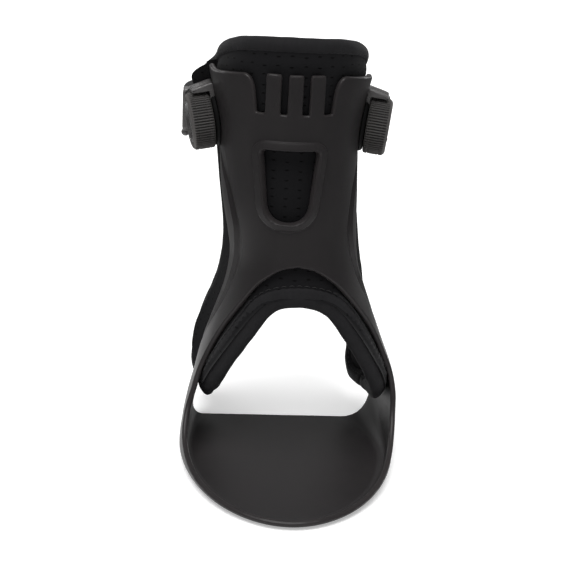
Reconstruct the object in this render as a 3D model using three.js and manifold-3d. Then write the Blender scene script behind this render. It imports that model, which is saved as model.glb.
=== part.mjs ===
// A foot drop brace: a moulded shell (shin panel, two arms and a sole plate in one piece), a padded liner with
// rolled edges, a dial on each side whose laces pull a strap round the back of the leg.
// Millimetres, +Z up, toes towards -Y. The origin is the middle of the sole plate's flat underside.
import * as THREE from "three";
import { mergeVertices } from "three/addons/utils/BufferGeometryUtils.js";
import Module from "manifold-3d";

// Shell
const shellHeight = 206;
const wall = 3;
const shinHalfWidth = 37;
const shinReach = 47.5;
const soleHalfWidth = 57.5;
const soleReach = 123.5;
const shoulderBehind = 5;
const soleShoulder = 43;
const armTuck = 3.5;
const sideways = 4;
const soleOriginAhead = 52;
const floorRadiusFront = 8;
const floorRadiusOuter = 10;
const floorRadiusInner = 20;

// Arch, rear edge and flutes
const archHeight = 110.5;
const rearReach = 13;
const fluteDepth = 1.4;
const lipWidth = 7;

// Fingers, gaps and window of the shin panel
const fingerHeight = 18;
const fingerWidth = 7.2;
const slotWidth = 4.1;
const fingerRise = 2;
const fingerAside = -4.7;
const gapWidth = 4;
const gapFlare = 6;
const gapCorner = 0.6;
const windowDrop = 35.3;
const windowTop = shellHeight - windowDrop;
const windowHeight = 37;
const windowTopHalf = 13.1;
const windowWaistHalf = 10.5;
const windowCorner = 2.2;
const windowAside = -5.4;
const frameBand = 4.6;
const frameRise = 1.5;

// Liner
const clearance = 0.3;
const linerClearance = 0.8;
const padThickness = 6;
const linerRise = 10.5;
const linerTop = shellHeight + linerRise;
const linerFlare = 8;
const flareStart = 2;
const flareSpan = 14;
const bindingRadius = 4.2;
const linerSteps = 20;
const linerFacets = 12;
const linerNudge = 0.02;

// Dials
const dialDrop = 30;
const dialHeight = shellHeight - dialDrop;
const dialAngle = 84;
const dialToe = 8;
const dialBaseRadius = 14.5;
const dialBaseHeight = 3.2;
const baseChamfer = 1;
const dialFacets = 20;
const dialRadius = 15;
const dialDepth = 12.2;
const knurlBand = 9;
const knurlCount = 30;
const knurlDepth = 0.5;
const bevelFoot = 0.8;
const rimWidth = 0.6;
const capThickness = 2;
const capRadius = 11;
const hubFoot = 0.4;
const dishDepth = 2.2;
const hubRadius = 3.2;
const hubClearance = 0.35;
const hubDepth = 2.4;
const outletWidth = 13;
const outletRise = 5.5;
const outletNose = 1.5;
const outletClearance = 0.8;
const outletGrooveWidth = 1.7;
const outletGrooveDepth = 1;
const outletGrooveSpacing = 3.4;
const outletTop = dialRadius + outletClearance + outletRise;
const laceRadius = 0.5;
const laceGap = 0.5;

// Rear strap
const strapWidth = 22;
const strapThickness = 3.6;
const strapHalfSpan = 54.5;
const strapAside = -4.5;
const strapBehind = 72;
const strapStart = 27;
const strapMiddle = dialHeight;
const strapRoundness = 0.75;
const strapSteps = 20;
const guideLength = 9;
const guideBead = 2.3;
const guideBrim = 0.5;
const guideCorner = 1.2;
const laceSag = 0.8;
const laceBow = 0.5;

// How finely the faceted walls follow their curves: millimetres up the shell, degrees round it.
const heightStep = 10;
const angleStep = 7.5;
const sideAngle = 90;
const filletShares = [0, 0.06, 0.18, 0.35, 0.55, 0.78];

// Rows up the shell. height is a share of shellHeight; foot says how far the sole's sizes rule instead of the
// shin's; width and reach are shares of the half width and reach so mixed; square is how square the front is;
// ahead, tuck and aside are shares of soleShoulder, armTuck and sideways.
const sectionRows = [
  { height: 0.0, foot: 1.0, width: 1.0, reach: 1.0, square: 2.1, ahead: 1.0, tuck: 1.0, aside: -0.1 },
  { height: 0.06, foot: 1.0, width: 1.0, reach: 1.0, square: 2.1, ahead: 1.0, tuck: 1.0, aside: 0.1 },
  { height: 0.12, foot: 0.98, width: 1.0, reach: 0.97, square: 2.15, ahead: 0.96, tuck: 1.0, aside: 0.5 },
  { height: 0.175, foot: 0.92, width: 0.995, reach: 0.93, square: 2.25, ahead: 0.85, tuck: 1.0, aside: 0.9 },
  { height: 0.235, foot: 0.8, width: 0.985, reach: 0.91, square: 2.35, ahead: 0.7, tuck: 1.0, aside: 1.0 },
  { height: 0.29, foot: 0.6, width: 0.975, reach: 0.92, square: 2.4, ahead: 0.52, tuck: 1.0, aside: 1.0 },
  { height: 0.35, foot: 0.38, width: 0.965, reach: 0.945, square: 2.45, ahead: 0.34, tuck: 0.8, aside: 1.0 },
  { height: 0.41, foot: 0.2, width: 0.948, reach: 0.98, square: 2.5, ahead: 0.16, tuck: 0.5, aside: 0.9 },
  { height: 0.47, foot: 0.08, width: 0.925, reach: 1.0, square: 2.5, ahead: 0.04, tuck: 0.2, aside: 0.6 },
  { height: 0.515, foot: 0.03, width: 0.925, reach: 1.003, square: 2.4, ahead: 0.0, tuck: 0.0, aside: 0.4 },
  { height: 0.565, foot: 0.0, width: 0.95, reach: 1.015, square: 2.3, ahead: 0.0, tuck: 0.0, aside: 0.1 },
  { height: 0.67, foot: 0.0, width: 0.99, reach: 1.0, square: 2.2, ahead: 0.0, tuck: 0.0, aside: -0.5 },
  { height: 0.815, foot: 0.0, width: 1.005, reach: 1.0, square: 2.15, ahead: 0.0, tuck: 0.0, aside: -0.92 },
  { height: 0.92, foot: 0.0, width: 1.081, reach: 1.0, square: 2.1, ahead: 0.0, tuck: 0.0, aside: -1.05 },
  { height: 1.0, foot: 0.0, width: 1.176, reach: 1.01, square: 2.05, ahead: 0.0, tuck: 0.0, aside: -1.0 },
  { height: 1.04, foot: 0.0, width: 1.19, reach: 1.01, square: 2.05, ahead: 0.0, tuck: 0.0, aside: -0.8 },
  { height: 1.1, foot: 0.0, width: 1.18, reach: 1.0, square: 2.05, ahead: 0.0, tuck: 0.0, aside: -0.55 },
];

// The opening over the instep, from the arch's top down one side to the sole's front rim. angle is in degrees
// round the leg from the front, height a share of archHeight.
const openingRows = [
  { angle: 0, height: 1.0 },
  { angle: 9, height: 0.982 },
  { angle: 17, height: 0.938 },
  { angle: 25, height: 0.878 },
  { angle: 35.5, height: 0.765 },
  { angle: 43.5, height: 0.665 },
  { angle: 49, height: 0.56 },
  { angle: 51.5, height: 0.452 },
  { angle: 52.5, height: 0.362 },
  { angle: 51.5, height: 0.272 },
  { angle: 48, height: 0.2 },
  { angle: 42.5, height: 0.142 },
  { angle: 34, height: 0.1 },
  { angle: 25, height: 0.074 },
  { angle: 14, height: 0.056 },
  { angle: 0, height: 0.05 },
];

// The shell's rear edge, seen from the side: height as a share of shellHeight, behind as a share of rearReach.
const rearRows = [
  { height: 0.0, behind: 0.19 },
  { height: 0.02, behind: 0.22 },
  { height: 0.04, behind: 0.34 },
  { height: 0.07, behind: 0.6 },
  { height: 0.11, behind: 0.9 },
  { height: 0.16, behind: 1.03 },
  { height: 0.22, behind: 1.0 },
  { height: 0.29, behind: 0.85 },
  { height: 0.365, behind: 0.6 },
  { height: 0.44, behind: 0.4 },
  { height: 0.505, behind: 0.32 },
  { height: 0.58, behind: 0.32 },
  { height: 0.655, behind: 0.4 },
  { height: 0.72, behind: 0.56 },
  { height: 0.78, behind: 0.76 },
  { height: 0.845, behind: 0.84 },
  { height: 0.9, behind: 0.7 },
  { height: 0.95, behind: 0.42 },
  { height: 0.98, behind: 0.2 },
  { height: 0.994, behind: -0.05 },
  { height: 1.0, behind: -0.4 },
];

// The flute's front crease: angle round the leg in degrees, depth as a share of fluteDepth.
const fluteRows = [
  { height: 0.13, angle: 90, depth: 0.0 },
  { height: 0.2, angle: 82, depth: 0.5 },
  { height: 0.29, angle: 68, depth: 1.0 },
  { height: 0.36, angle: 58, depth: 1.0 },
  { height: 0.42, angle: 51, depth: 1.0 },
  { height: 0.48, angle: 49, depth: 1.0 },
  { height: 0.54, angle: 51, depth: 1.0 },
  { height: 0.61, angle: 57, depth: 1.0 },
  { height: 0.68, angle: 66, depth: 0.7 },
  { height: 0.76, angle: 80, depth: 0.0 },
];

// The liner from the front's middle to the end of one leg: its inner edge, round the arch and down the leg's
// front, and beside it its outer edge, over the top and down the rear. Angles are in degrees, heights shares of
// linerTop, the flares of the two sides shares of linerFlare.
const linerRows = [
  { share: 0.0, inAngle: 0, inHeight: 0.447, outAngle: 0, outHeight: 1.0, left: 1.0, right: 1.0 },
  { share: 0.11, inAngle: 9, inHeight: 0.442, outAngle: 20, outHeight: 0.998, left: 1.0, right: 1.0 },
  { share: 0.22, inAngle: 17, inHeight: 0.427, outAngle: 42, outHeight: 0.99, left: 1.0, right: 1.0 },
  { share: 0.32, inAngle: 25, inHeight: 0.392, outAngle: 64, outHeight: 0.968, left: 1.0, right: 1.0 },
  { share: 0.42, inAngle: 33, inHeight: 0.335, outAngle: 84, outHeight: 0.93, left: 1.0, right: 1.0 },
  { share: 0.51, inAngle: 39, inHeight: 0.278, outAngle: 98, outHeight: 0.868, left: 0.8, right: 0.8 },
  { share: 0.6, inAngle: 44, inHeight: 0.228, outAngle: 103, outHeight: 0.76, left: 0.5, right: 0.5 },
  { share: 0.7, inAngle: 48, inHeight: 0.187, outAngle: 102, outHeight: 0.63, left: 0.6, right: 0.9 },
  { share: 0.79, inAngle: 53, inHeight: 0.153, outAngle: 104, outHeight: 0.49, left: 0.7, right: 1.0 },
  { share: 0.87, inAngle: 60, inHeight: 0.124, outAngle: 110, outHeight: 0.35, left: 0.95, right: 0.55 },
  { share: 0.94, inAngle: 69, inHeight: 0.106, outAngle: 112, outHeight: 0.22, left: 1.8, right: 0.0 },
  { share: 1.0, inAngle: 80, inHeight: 0.096, outAngle: 106, outHeight: 0.115, left: 1.5, right: -0.1 },
];

// The walls are modelled straight back past the rear edge, then cut to it.
const shellBack = rearReach * 3;
const shellFillet = Math.max(floorRadiusFront, floorRadiusOuter, floorRadiusInner);

// The two laces of a dial: how far below the outlet's top and how far out of the wall each starts, in
// millimetres, and its end above the strap's middle as a share of strapWidth.
const laceRows = [
  { name: "upper", down: 1.5, out: 4, up: 0.42 },
  { name: "lower", down: 3.5, out: 6, up: 0.27 },
];

// One rib of the knob's rim: the share of its pitch at which each corner lies, and the corner's radius.
const knurlRows = [
  { part: 0, radius: dialRadius },
  { part: 0.45, radius: dialRadius },
  { part: 0.72, radius: dialRadius - knurlDepth },
];

const radians = THREE.MathUtils.degToRad;
const clamp = THREE.MathUtils.clamp;
const lerp = THREE.MathUtils.lerp;
const smoothstep = (from, to, at) => THREE.MathUtils.smoothstep(at, from, to);

// A table's column at a height, by a smooth curve through its rows.
function column(rows, key, at, by = "height") {
  const last = rows.length - 1;
  if (at <= rows[0][by]) return rows[0][key];
  if (at >= rows[last][by]) return rows[last][key];
  const i = rows.findIndex((row) => row[by] > at) - 1;
  const slope = (a, b) => (rows[b][key] - rows[a][key]) / (rows[b][by] - rows[a][by]);
  const step = rows[i + 1][by] - rows[i][by];
  const t = (at - rows[i][by]) / step;
  const into = slope(Math.max(i - 1, 0), i + 1) * step;
  const out = slope(i, Math.min(i + 2, last)) * step;
  const a = rows[i][key];
  const b = rows[i + 1][key];
  const rise = 3 * t ** 2 - 2 * t ** 3;
  return a * (1 - rise) + b * rise + into * (t ** 3 - 2 * t ** 2 + t) + out * (t ** 3 - t ** 2);
}

const rearEdge = (z) => rearReach * column(rearRows, "behind", z / shellHeight);

// The shell's outside at one height: half width, where its widest place and its front lie, squareness, how
// much it draws in behind the widest place, and its place sideways.
function sectionAt(z) {
  const at = z / shellHeight;
  const foot = column(sectionRows, "foot", at);
  return {
    half: lerp(shinHalfWidth, soleHalfWidth, foot) * column(sectionRows, "width", at),
    front: -lerp(shinReach, soleReach, foot) * column(sectionRows, "reach", at),
    widest: shoulderBehind - soleShoulder * column(sectionRows, "ahead", at),
    square: column(sectionRows, "square", at),
    tuck: armTuck * column(sectionRows, "tuck", at),
    aside: sideways * column(sectionRows, "aside", at),
  };
}

// How far the wall draws in near the floor, where it rounds over into the sole plate.
function floorInset(angle, z, inset) {
  const side = angle < 0 ? floorRadiusOuter : floorRadiusInner;
  const radius = lerp(floorRadiusFront, side, smoothstep(45, 90, Math.abs(angle))) - inset;
  const below = radius - (z - Math.max(inset, 0));
  return below > 0 ? radius - Math.sqrt(Math.max(radius ** 2 - below ** 2, 0)) : 0;
}

// The section's half width at y, drawn in by a distance: a superellipse ahead of the widest place, a gentle
// draw-in behind it.
function halfAt(s, y, draw) {
  const half = s.half - draw;
  if (y >= s.widest) return half - s.tuck * ((y - s.widest) / soleShoulder) ** 2;
  const ahead = Math.min((s.widest - y) / (s.widest - s.front - draw), 1);
  return half * (1 - ahead ** s.square) ** (1 / s.square);
}

// Where the ray at an angle from the shoulder meets the section.
function rayHit(s, angle, draw) {
  const slope = Math.tan(radians(angle));
  let low = s.front + draw;
  let high = shoulderBehind;
  for (let k = 0; k < 40; k++) {
    const y = (low + high) / 2;
    if (halfAt(s, y, draw) < (shoulderBehind - y) * slope) low = y;
    else high = y;
  }
  return high;
}

// The moulded relief of the outer face: the side flutes behind their creases.
function relief(angle, y, z) {
  const at = z / shellHeight;
  const crease = column(fluteRows, "angle", at);
  const depth = fluteDepth * column(fluteRows, "depth", at);
  const lip = 1 - smoothstep(rearEdge(z) - lipWidth, rearEdge(z) - lipWidth / 2, y);
  return depth * smoothstep(crease, crease + 6, Math.abs(angle)) * lip;
}

// A point of the wall, inset from the shell's outside. Angles past 90 degrees run straight back from the
// shoulder, a millimetre a degree.
function wallPoint(angle, z, inset, extra = () => 0) {
  const s = sectionAt(z);
  const turn = Math.min(Math.abs(angle), sideAngle);
  const draw = inset + floorInset(angle, z, inset);
  const y = turn < sideAngle ? rayHit(s, turn, draw) : shoulderBehind + Math.abs(angle) - sideAngle;
  const add = extra(angle, y, z);
  const half = halfAt(s, y, draw) + Math.sin(radians(turn)) * add;
  return new THREE.Vector3(s.aside + Math.sign(angle) * half, y - Math.cos(radians(turn)) * add, z);
}

const wasm = await Module();
wasm.setup();

// A closed surface from rings of equally many points, capped at both ends by the triangles of its flat outline.
function ringSolid(rings, outline = flatten(rings[0])) {
  const count = rings[0].length;
  const faces = [];
  const turned = THREE.ShapeUtils.isClockWise(outline);
  const caps = THREE.ShapeUtils.triangulateShape(turned ? [...outline].reverse() : outline, []);
  const corner = (k) => (turned ? count - 1 - k : k);
  for (let r = 0; r < rings.length - 1; r++) {
    const low = r * count;
    const high = low + count;
    for (let i = 0; i < count; i++) {
      const j = (i + 1) % count;
      faces.push(low + i, low + j, high + j, low + i, high + j, high + i);
    }
  }
  for (const triangle of caps) {
    const face = triangle.map(corner);
    if (turned) face.reverse();
    faces.push(face[0], face[2], face[1]);
    faces.push(...face.map((k) => k + (rings.length - 1) * count));
  }
  const geometry = new THREE.BufferGeometry();
  const places = rings.flat().flatMap((p) => [p.x, p.y, p.z]);
  geometry.setAttribute("position", new THREE.Float32BufferAttribute(places, 3));
  geometry.setIndex(faces);
  return solid(geometry);
}

// A ring's points in its own plane, anticlockwise.
function flatten(ring) {
  const normal = new THREE.Vector3();
  ring.forEach((p, i) => normal.add(new THREE.Vector3().crossVectors(p, ring[(i + 1) % ring.length])));
  const across = new THREE.Vector3().subVectors(ring[1], ring[0]).normalize();
  normal.normalize();
  const up = new THREE.Vector3().crossVectors(normal, across);
  return ring.map((p) => new THREE.Vector2(p.dot(across), p.dot(up)));
}

// A closed three.js geometry as a manifold-3d solid, turned outside out if it came inside out.
function solid(geometry) {
  const bare = geometry.clone();
  bare.deleteAttribute("normal");
  bare.deleteAttribute("uv");
  const merged = mergeVertices(bare, 1e-4);
  const vertProperties = merged.attributes.position.array;
  const build = (triVerts) => new wasm.Manifold(new wasm.Mesh({ numProp: 3, vertProperties, triVerts }));
  const faces = new Uint32Array(merged.index.array);
  const made = build(faces);
  if (made.volume() >= 0) return made;
  return build(faces.reverse());
}

function geometryOf(manifold) {
  const mesh = manifold.getMesh();
  const geometry = new THREE.BufferGeometry();
  geometry.setAttribute("position", new THREE.BufferAttribute(new Float32Array(mesh.vertProperties), 3));
  geometry.setIndex(new THREE.BufferAttribute(new Uint32Array(mesh.triVerts), 1));
  geometry.computeVertexNormals();
  return geometry;
}

// Angles round the front, and heights, at even steps.
function range(from, to, step) {
  const count = Math.max(Math.round((to - from) / step), 1);
  return Array.from({ length: count + 1 }, (_, i) => lerp(from, to, i / count));
}

// The body that the shell's outside bounds, inset, closed straight across behind.
function bodySolid(inset, heights, back, extra) {
  const first = sideAngle + rearReach * 0.6;
  const sides = range(-sideAngle, sideAngle, angleStep);
  const angles = [-sideAngle - back, -first, ...sides, first, sideAngle + back];
  return ringSolid(heights.map((z) => angles.map((a) => wallPoint(a, z, inset, extra))));
}

// An outline in the side view (y, z) or the front view (x, z), cut straight through the body.
function sidePrism(points, width = soleHalfWidth * 4) {
  const shape = new THREE.Shape(points.map(([y, z]) => new THREE.Vector2(y, z)));
  const geometry = new THREE.ExtrudeGeometry(shape, { depth: width, bevelEnabled: false });
  geometry.applyMatrix4(new THREE.Matrix4().set(0, 0, 1, -width / 2, 1, 0, 0, 0, 0, 1, 0, 0, 0, 0, 0, 1));
  return solid(geometry);
}

function frontPrism(shape, from = -shinReach * 2.5, to = -shinReach / 4) {
  const extrusion = { depth: to - from, bevelEnabled: false, curveSegments: 5 };
  const geometry = new THREE.ExtrudeGeometry(shape, extrusion);
  geometry.applyMatrix4(new THREE.Matrix4().set(1, 0, 0, 0, 0, 0, 1, from, 0, 1, 0, 0, 0, 0, 0, 1));
  return solid(geometry);
}

// A cutter for a loop of [angle, height] points round the leg, from inside the wall outwards in even ratios.
function radialCutter(loop) {
  const innermost = shinReach * 0.3;
  const outermost = soleReach * 2.1;
  const radii = range(0, 1, 1 / 9).map((share) => innermost * (outermost / innermost) ** share);
  return ringSolid(
    radii.map((radius) =>
      loop.map(([a, z]) => {
        const turn = radians(a);
        const x = sectionAt(z).aside + radius * Math.sin(turn);
        return new THREE.Vector3(x, shoulderBehind - radius * Math.cos(turn), z);
      }),
    ),
    loop.map(([a, z]) => new THREE.Vector2(a, z)),
  );
}

// Points along a table of angle and height, from one side's last row over the front to the other's.
function mirroredLoop(rows, scale, steps) {
  const curve = new THREE.SplineCurve(rows.map((row) => new THREE.Vector2(row.angle, row.height * scale)));
  const half = curve.getPoints(steps).map((p) => [Math.max(p.x, 0), p.y]);
  const closes = rows[rows.length - 1].angle === 0;
  const left = half.slice(1, closes ? -1 : undefined).map(([a, z]) => [-a, z]);
  return [...left.reverse(), ...half];
}

// A rectangle with round corners about the middle, from its half sides.
function rounded(half, corner) {
  const shape = new THREE.Shape();
  shape.moveTo(-half.x + corner, -half.y);
  shape.absarc(half.x - corner, -half.y + corner, corner, -Math.PI / 2, 0);
  shape.absarc(half.x - corner, half.y - corner, corner, 0, Math.PI / 2);
  shape.absarc(-half.x + corner, half.y - corner, corner, Math.PI / 2, Math.PI);
  shape.absarc(-half.x + corner, -half.y + corner, corner, Math.PI, 1.5 * Math.PI);
  return shape;
}

// The window's round bottom, in shares of its half width there: where the straight sides begin, and the
// handles of the curve below them.
const windowBend = { straight: 0.9, lift: 0.3, foot: 0.6, side: 0.95 };

// The window's outline, grown all round: square at the top, drawn in and round at the bottom.
function windowShape(grow) {
  const top = windowTop + grow;
  const half = windowTopHalf + grow;
  const waist = windowWaistHalf + grow;
  const low = windowTop - windowHeight - grow;
  const corner = windowCorner + grow;
  const bend = low + windowWaistHalf * windowBend.straight + grow;
  const shape = new THREE.Shape();
  shape.moveTo(windowAside, low);
  const x = (d) => windowAside + d;
  const lift = low + waist * windowBend.lift;
  const foot = waist * windowBend.foot;
  const side = waist * windowBend.side;
  shape.bezierCurveTo(x(foot), low, x(side), lift, x(waist), bend);
  shape.lineTo(x(half), top - corner);
  shape.quadraticCurveTo(x(half), top, x(half - corner), top);
  shape.lineTo(x(corner - half), top);
  shape.quadraticCurveTo(x(-half), top, x(-half), top - corner);
  shape.lineTo(x(-waist), bend);
  shape.bezierCurveTo(x(-side), lift, x(-foot), low, x(0), low);
  return shape;
}

// What is cut away between the wings: the gaps beside the fingers, the slots between them and all above them.
function crownCuts() {
  const low = shellHeight + fingerRise - fingerHeight;
  const high = shellHeight * 1.2;
  const fingersHalf = 1.5 * fingerWidth + slotWidth;
  const shoulder = gapWidth + gapFlare * 0.42;
  const shoulderHeight = low + fingerHeight * 0.45;
  const cuts = [-1, 1].map((side) => {
    const x = (d) => fingerAside + side * (fingersHalf + d);
    const shape = new THREE.Shape();
    shape.moveTo(x(0), low + gapCorner);
    shape.lineTo(x(0), high);
    shape.lineTo(x(shinHalfWidth * 2), high);
    shape.lineTo(x(shinHalfWidth * 2), shellHeight);
    shape.lineTo(x(gapWidth + gapFlare * 2), shellHeight);
    shape.quadraticCurveTo(x(gapWidth + gapFlare * 0.75), shellHeight, x(shoulder), shoulderHeight);
    shape.lineTo(x(gapWidth), low + gapCorner);
    shape.lineTo(x(gapWidth - gapCorner), low);
    shape.lineTo(x(gapCorner), low);
    return frontPrism(shape);
  });
  for (const side of [-1, 1]) {
    const middle = fingerAside + (side * (fingerWidth + slotWidth)) / 2;
    const shape = new THREE.Shape();
    shape.moveTo(middle - slotWidth / 2, low);
    shape.lineTo(middle + slotWidth / 2, low);
    shape.lineTo(middle + slotWidth / 2, high);
    shape.lineTo(middle - slotWidth / 2, high);
    cuts.push(frontPrism(shape));
  }
  return cuts;
}

// The band round the window, raised from the shell's face.
function windowFrame() {
  const low = windowTop - windowHeight - frameBand * 2;
  const high = windowTop + frameBand * 2;
  const turn = (x) => THREE.MathUtils.radToDeg(Math.atan2(x, shinReach));
  const reach = (windowTopHalf + frameBand) * 1.5;
  const angles = range(turn(windowAside - reach), turn(windowAside + reach), 4);
  const patch = ringSolid(
    range(low, high, 5).map((z) => [
      ...angles.map((a) => wallPoint(a, z, -frameRise)),
      ...[...angles].reverse().map((a) => wallPoint(a, z, wall / 2)),
    ]),
  );
  return patch.intersect(frontPrism(windowShape(frameBand)));
}

// What lies behind the shell's rear edge, and above its wings.
function behindShell() {
  const points = rearRows.map((row) => new THREE.Vector2(row.behind * rearReach, row.height * shellHeight));
  const edge = new THREE.SplineCurve(points).getPoints(36).map((p) => [p.x, p.y]);
  const [first, last] = [points[0], points[points.length - 1]];
  const top = shellHeight * 1.2;
  const far = rearReach * 8;
  const above = [[last.x - far, last.y], [last.x - far, top], [far, top]];
  return sidePrism([[first.x, -wall], ...edge, ...above, [far, -wall]]);
}

function makeShell() {
  const upper = range(shellFillet, shellHeight + fingerRise, heightStep);
  const outer = [...filletShares.map((share) => share * shellFillet), ...upper];
  const inner = [...filletShares.map((share) => lerp(wall, shellFillet, share)), ...upper, shellHeight * 1.15];
  let shell = bodySolid(0, outer, shellBack, (a, y, z) => -relief(a, y, z));
  shell = shell.subtract(bodySolid(wall, inner, shellBack * 1.2));
  shell = shell.add(windowFrame()).subtract(frontPrism(windowShape(0)));
  shell = shell.subtract(behindShell());
  shell = shell.subtract(radialCutter(mirroredLoop(openingRows, archHeight, 26)));
  for (const cut of crownCuts()) shell = shell.subtract(cut);
  return shell;
}

// A point of the liner: along runs from one leg's end (-1) over the front (0) to the other's, across from the
// inner edge (0) to the outer edge (1). Behind the shell's rear edge the liner flares outwards.
function linerPoint(along, across, inset) {
  const side = Math.sign(along) || 1;
  const at = (key) => column(linerRows, key, Math.abs(along), "share");
  const angle = lerp(at("inAngle"), at("outAngle"), across);
  const height = linerTop * lerp(at("inHeight"), at("outHeight"), across);
  const spread = (a, y, z) => {
    const from = rearEdge(Math.min(z, shellHeight * 0.94)) + flareStart;
    return linerFlare * at(side < 0 ? "left" : "right") * clamp((y - from) / flareSpan, 0, 1);
  };
  return wallPoint(side * angle, height, wall + linerClearance + inset, spread);
}

// The pad, its edges hollowed where the rolled edges sit.
function makeLiner() {
  const across = range(0, 1, 1 / linerFacets);
  const back = [...across].reverse();
  const outline = [...across.map((t) => new THREE.Vector2(t, 0)), ...back.map((t) => new THREE.Vector2(t, 1))];
  const pad = ringSolid(
    range(-1, 1, 1 / linerSteps).map((along) => [
      ...across.map((t) => linerPoint(along, t, 0)),
      ...back.map((t) => linerPoint(along, t, padThickness)),
    ]),
    outline,
  );
  return pad.subtract(makeBinding(0, clearance)).subtract(makeBinding(1, clearance));
}

// The rolled edge along one edge of the liner, its middle outside the edge by its radius and the clearance.
function makeBinding(across, grow = 0) {
  const middle = (along, t) => linerPoint(along, t, bindingRadius);
  const circle = range(0, Math.PI * 2, Math.PI / 4).slice(1);
  const rings = range(-1, 1, 1 / linerSteps).map((along) => {
    const edge = middle(along, across);
    const out = new THREE.Vector3().subVectors(edge, middle(along, Math.abs(across - linerNudge)));
    const ahead = middle(Math.min(along + linerNudge, 1), across);
    const behind = middle(Math.max(along - linerNudge, -1), across);
    const run = new THREE.Vector3().subVectors(ahead, behind).normalize();
    out.addScaledVector(run, -out.dot(run)).normalize();
    const side = new THREE.Vector3().crossVectors(run, out);
    edge.addScaledVector(out, bindingRadius + clearance);
    return circle.map((turn) =>
      edge
        .clone()
        .addScaledVector(out, (bindingRadius + grow) * Math.cos(turn))
        .addScaledVector(side, (bindingRadius + grow) * Math.sin(turn)),
    );
  });
  return ringSolid(rings, circle.map((turn) => new THREE.Vector2(Math.cos(turn), Math.sin(turn))));
}

// A solid of one section along a smooth path.
function sweep(path, shape, count, segments) {
  return solid(
    new THREE.ExtrudeGeometry(shape, {
      steps: count,
      curveSegments: segments,
      extrudePath: new THREE.CatmullRomCurve3(path),
      bevelEnabled: false,
    }),
  );
}

// A solid of revolution about z, from points of radius and height.
function turned(points, segments) {
  const geometry = new THREE.LatheGeometry(points.map(([r, h]) => new THREE.Vector2(r, h)), segments);
  return solid(geometry.rotateX(Math.PI / 2));
}

// The place of a dial on the shell's side: z straight out of the wall, y up along it.
function dialSeat(side) {
  const place = wallPoint(side * dialAngle, dialHeight, 0);
  const round = new THREE.Vector3().subVectors(wallPoint(side * (dialAngle + 1), dialHeight, 0), place);
  const up = new THREE.Vector3().subVectors(wallPoint(side * dialAngle, dialHeight + 1, 0), place).normalize();
  const out = new THREE.Vector3().crossVectors(round, up).multiplyScalar(side).normalize();
  out.applyAxisAngle(new THREE.Vector3(0, 0, 1), -side * radians(dialToe));
  const across = new THREE.Vector3().crossVectors(up, out).normalize();
  const square = new THREE.Vector3().crossVectors(out, across);
  return new THREE.Matrix4().makeBasis(across, square, out).setPosition(place);
}

// A dial's piece, its back cut to the shell's side that it is seated on.
function ontoShell(dialPiece, seat) {
  const reach = outletTop * 1.9;
  const heights = range(dialHeight - reach, dialHeight + reach, heightStep);
  const shellSide = geometryOf(bodySolid(-clearance, heights, shellBack));
  return dialPiece.subtract(solid(shellSide.applyMatrix4(seat.clone().invert())));
}

// The dial's round base, with a bore for the hub.
function makeDialBase(seat) {
  const low = -dialBaseRadius / 2;
  const bore = hubRadius + hubClearance;
  const boreFloor = dialBaseHeight - hubDepth;
  const base = turned(
    [
      [0, low],
      [dialBaseRadius, low],
      [dialBaseRadius, dialBaseHeight - baseChamfer],
      [dialBaseRadius - baseChamfer, dialBaseHeight],
      [bore, dialBaseHeight],
      [bore, boreFloor],
      [0, boreFloor],
    ],
    dialFacets,
  );
  return ontoShell(base, seat);
}

// The block above the knob that the laces leave by, with two grooves in its nose.
function makeLaceOutlet(seat) {
  const low = -dialBaseRadius / 2;
  const face = dialBaseHeight + knurlBand;
  const knobSide = dialRadius + outletClearance;
  let block = sidePrism(
    [
      [dialRadius + clearance, low],
      [outletTop, low],
      [outletTop, dialBaseHeight],
      [knobSide + outletNose, face],
      [knobSide, face],
      [knobSide, dialBaseHeight],
      [dialRadius + clearance, dialBaseHeight],
    ],
    outletWidth,
  );
  for (const side of [-1, 1]) {
    const groove = new THREE.BoxGeometry(outletGrooveWidth, outletGrooveDepth * 2, knurlBand);
    groove.translate((side * outletGrooveSpacing) / 2, knobSide + outletNose, face);
    block = block.subtract(solid(groove));
  }
  return ontoShell(block, seat);
}

// The ring that is turned: a ribbed rim and a smooth bevel in front of it.
function makeDialKnob() {
  const low = dialBaseHeight + clearance;
  const bevelLow = low + knurlBand;
  const face = dialBaseHeight + dialDepth;
  const bore = capRadius + clearance;
  const shape = new THREE.Shape();
  for (let k = 0; k < knurlCount; k++) {
    for (const { part, radius } of knurlRows) {
      const turn = (2 * Math.PI * (k + part)) / knurlCount;
      const point = [radius * Math.cos(turn), radius * Math.sin(turn)];
      if (k + part === 0) shape.moveTo(...point);
      else shape.lineTo(...point);
    }
  }
  shape.holes.push(new THREE.Path().absarc(0, 0, bore, 0, Math.PI * 2, true));
  const rim = new THREE.ExtrudeGeometry(shape, { depth: knurlBand, curveSegments: 12, bevelEnabled: false });
  const bevel = [
    [bore, bevelLow],
    [dialRadius - knurlDepth, bevelLow],
    [dialRadius - knurlDepth, bevelLow + bevelFoot],
    [bore + rimWidth, face],
    [bore, face],
    [bore, bevelLow],
  ];
  return solid(rim.translate(0, 0, low)).add(turned(bevel, dialFacets));
}

// The dial's dished face, with the hub that slides in the base.
function makeDialCap() {
  const face = dialBaseHeight + dialDepth;
  const back = face - dishDepth - capThickness;
  return turned(
    [
      [0, dialBaseHeight - hubDepth + hubFoot],
      [hubRadius, dialBaseHeight - hubDepth + hubFoot],
      [hubRadius, back],
      [capRadius, back],
      [capRadius, face - rimWidth],
      [capRadius - rimWidth, face],
      [capRadius - rimWidth * 3, face - dishDepth * 0.2],
      [capRadius * 0.55, face - dishDepth * 0.8],
      [0, face - dishDepth],
    ],
    dialFacets,
  );
}

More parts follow.
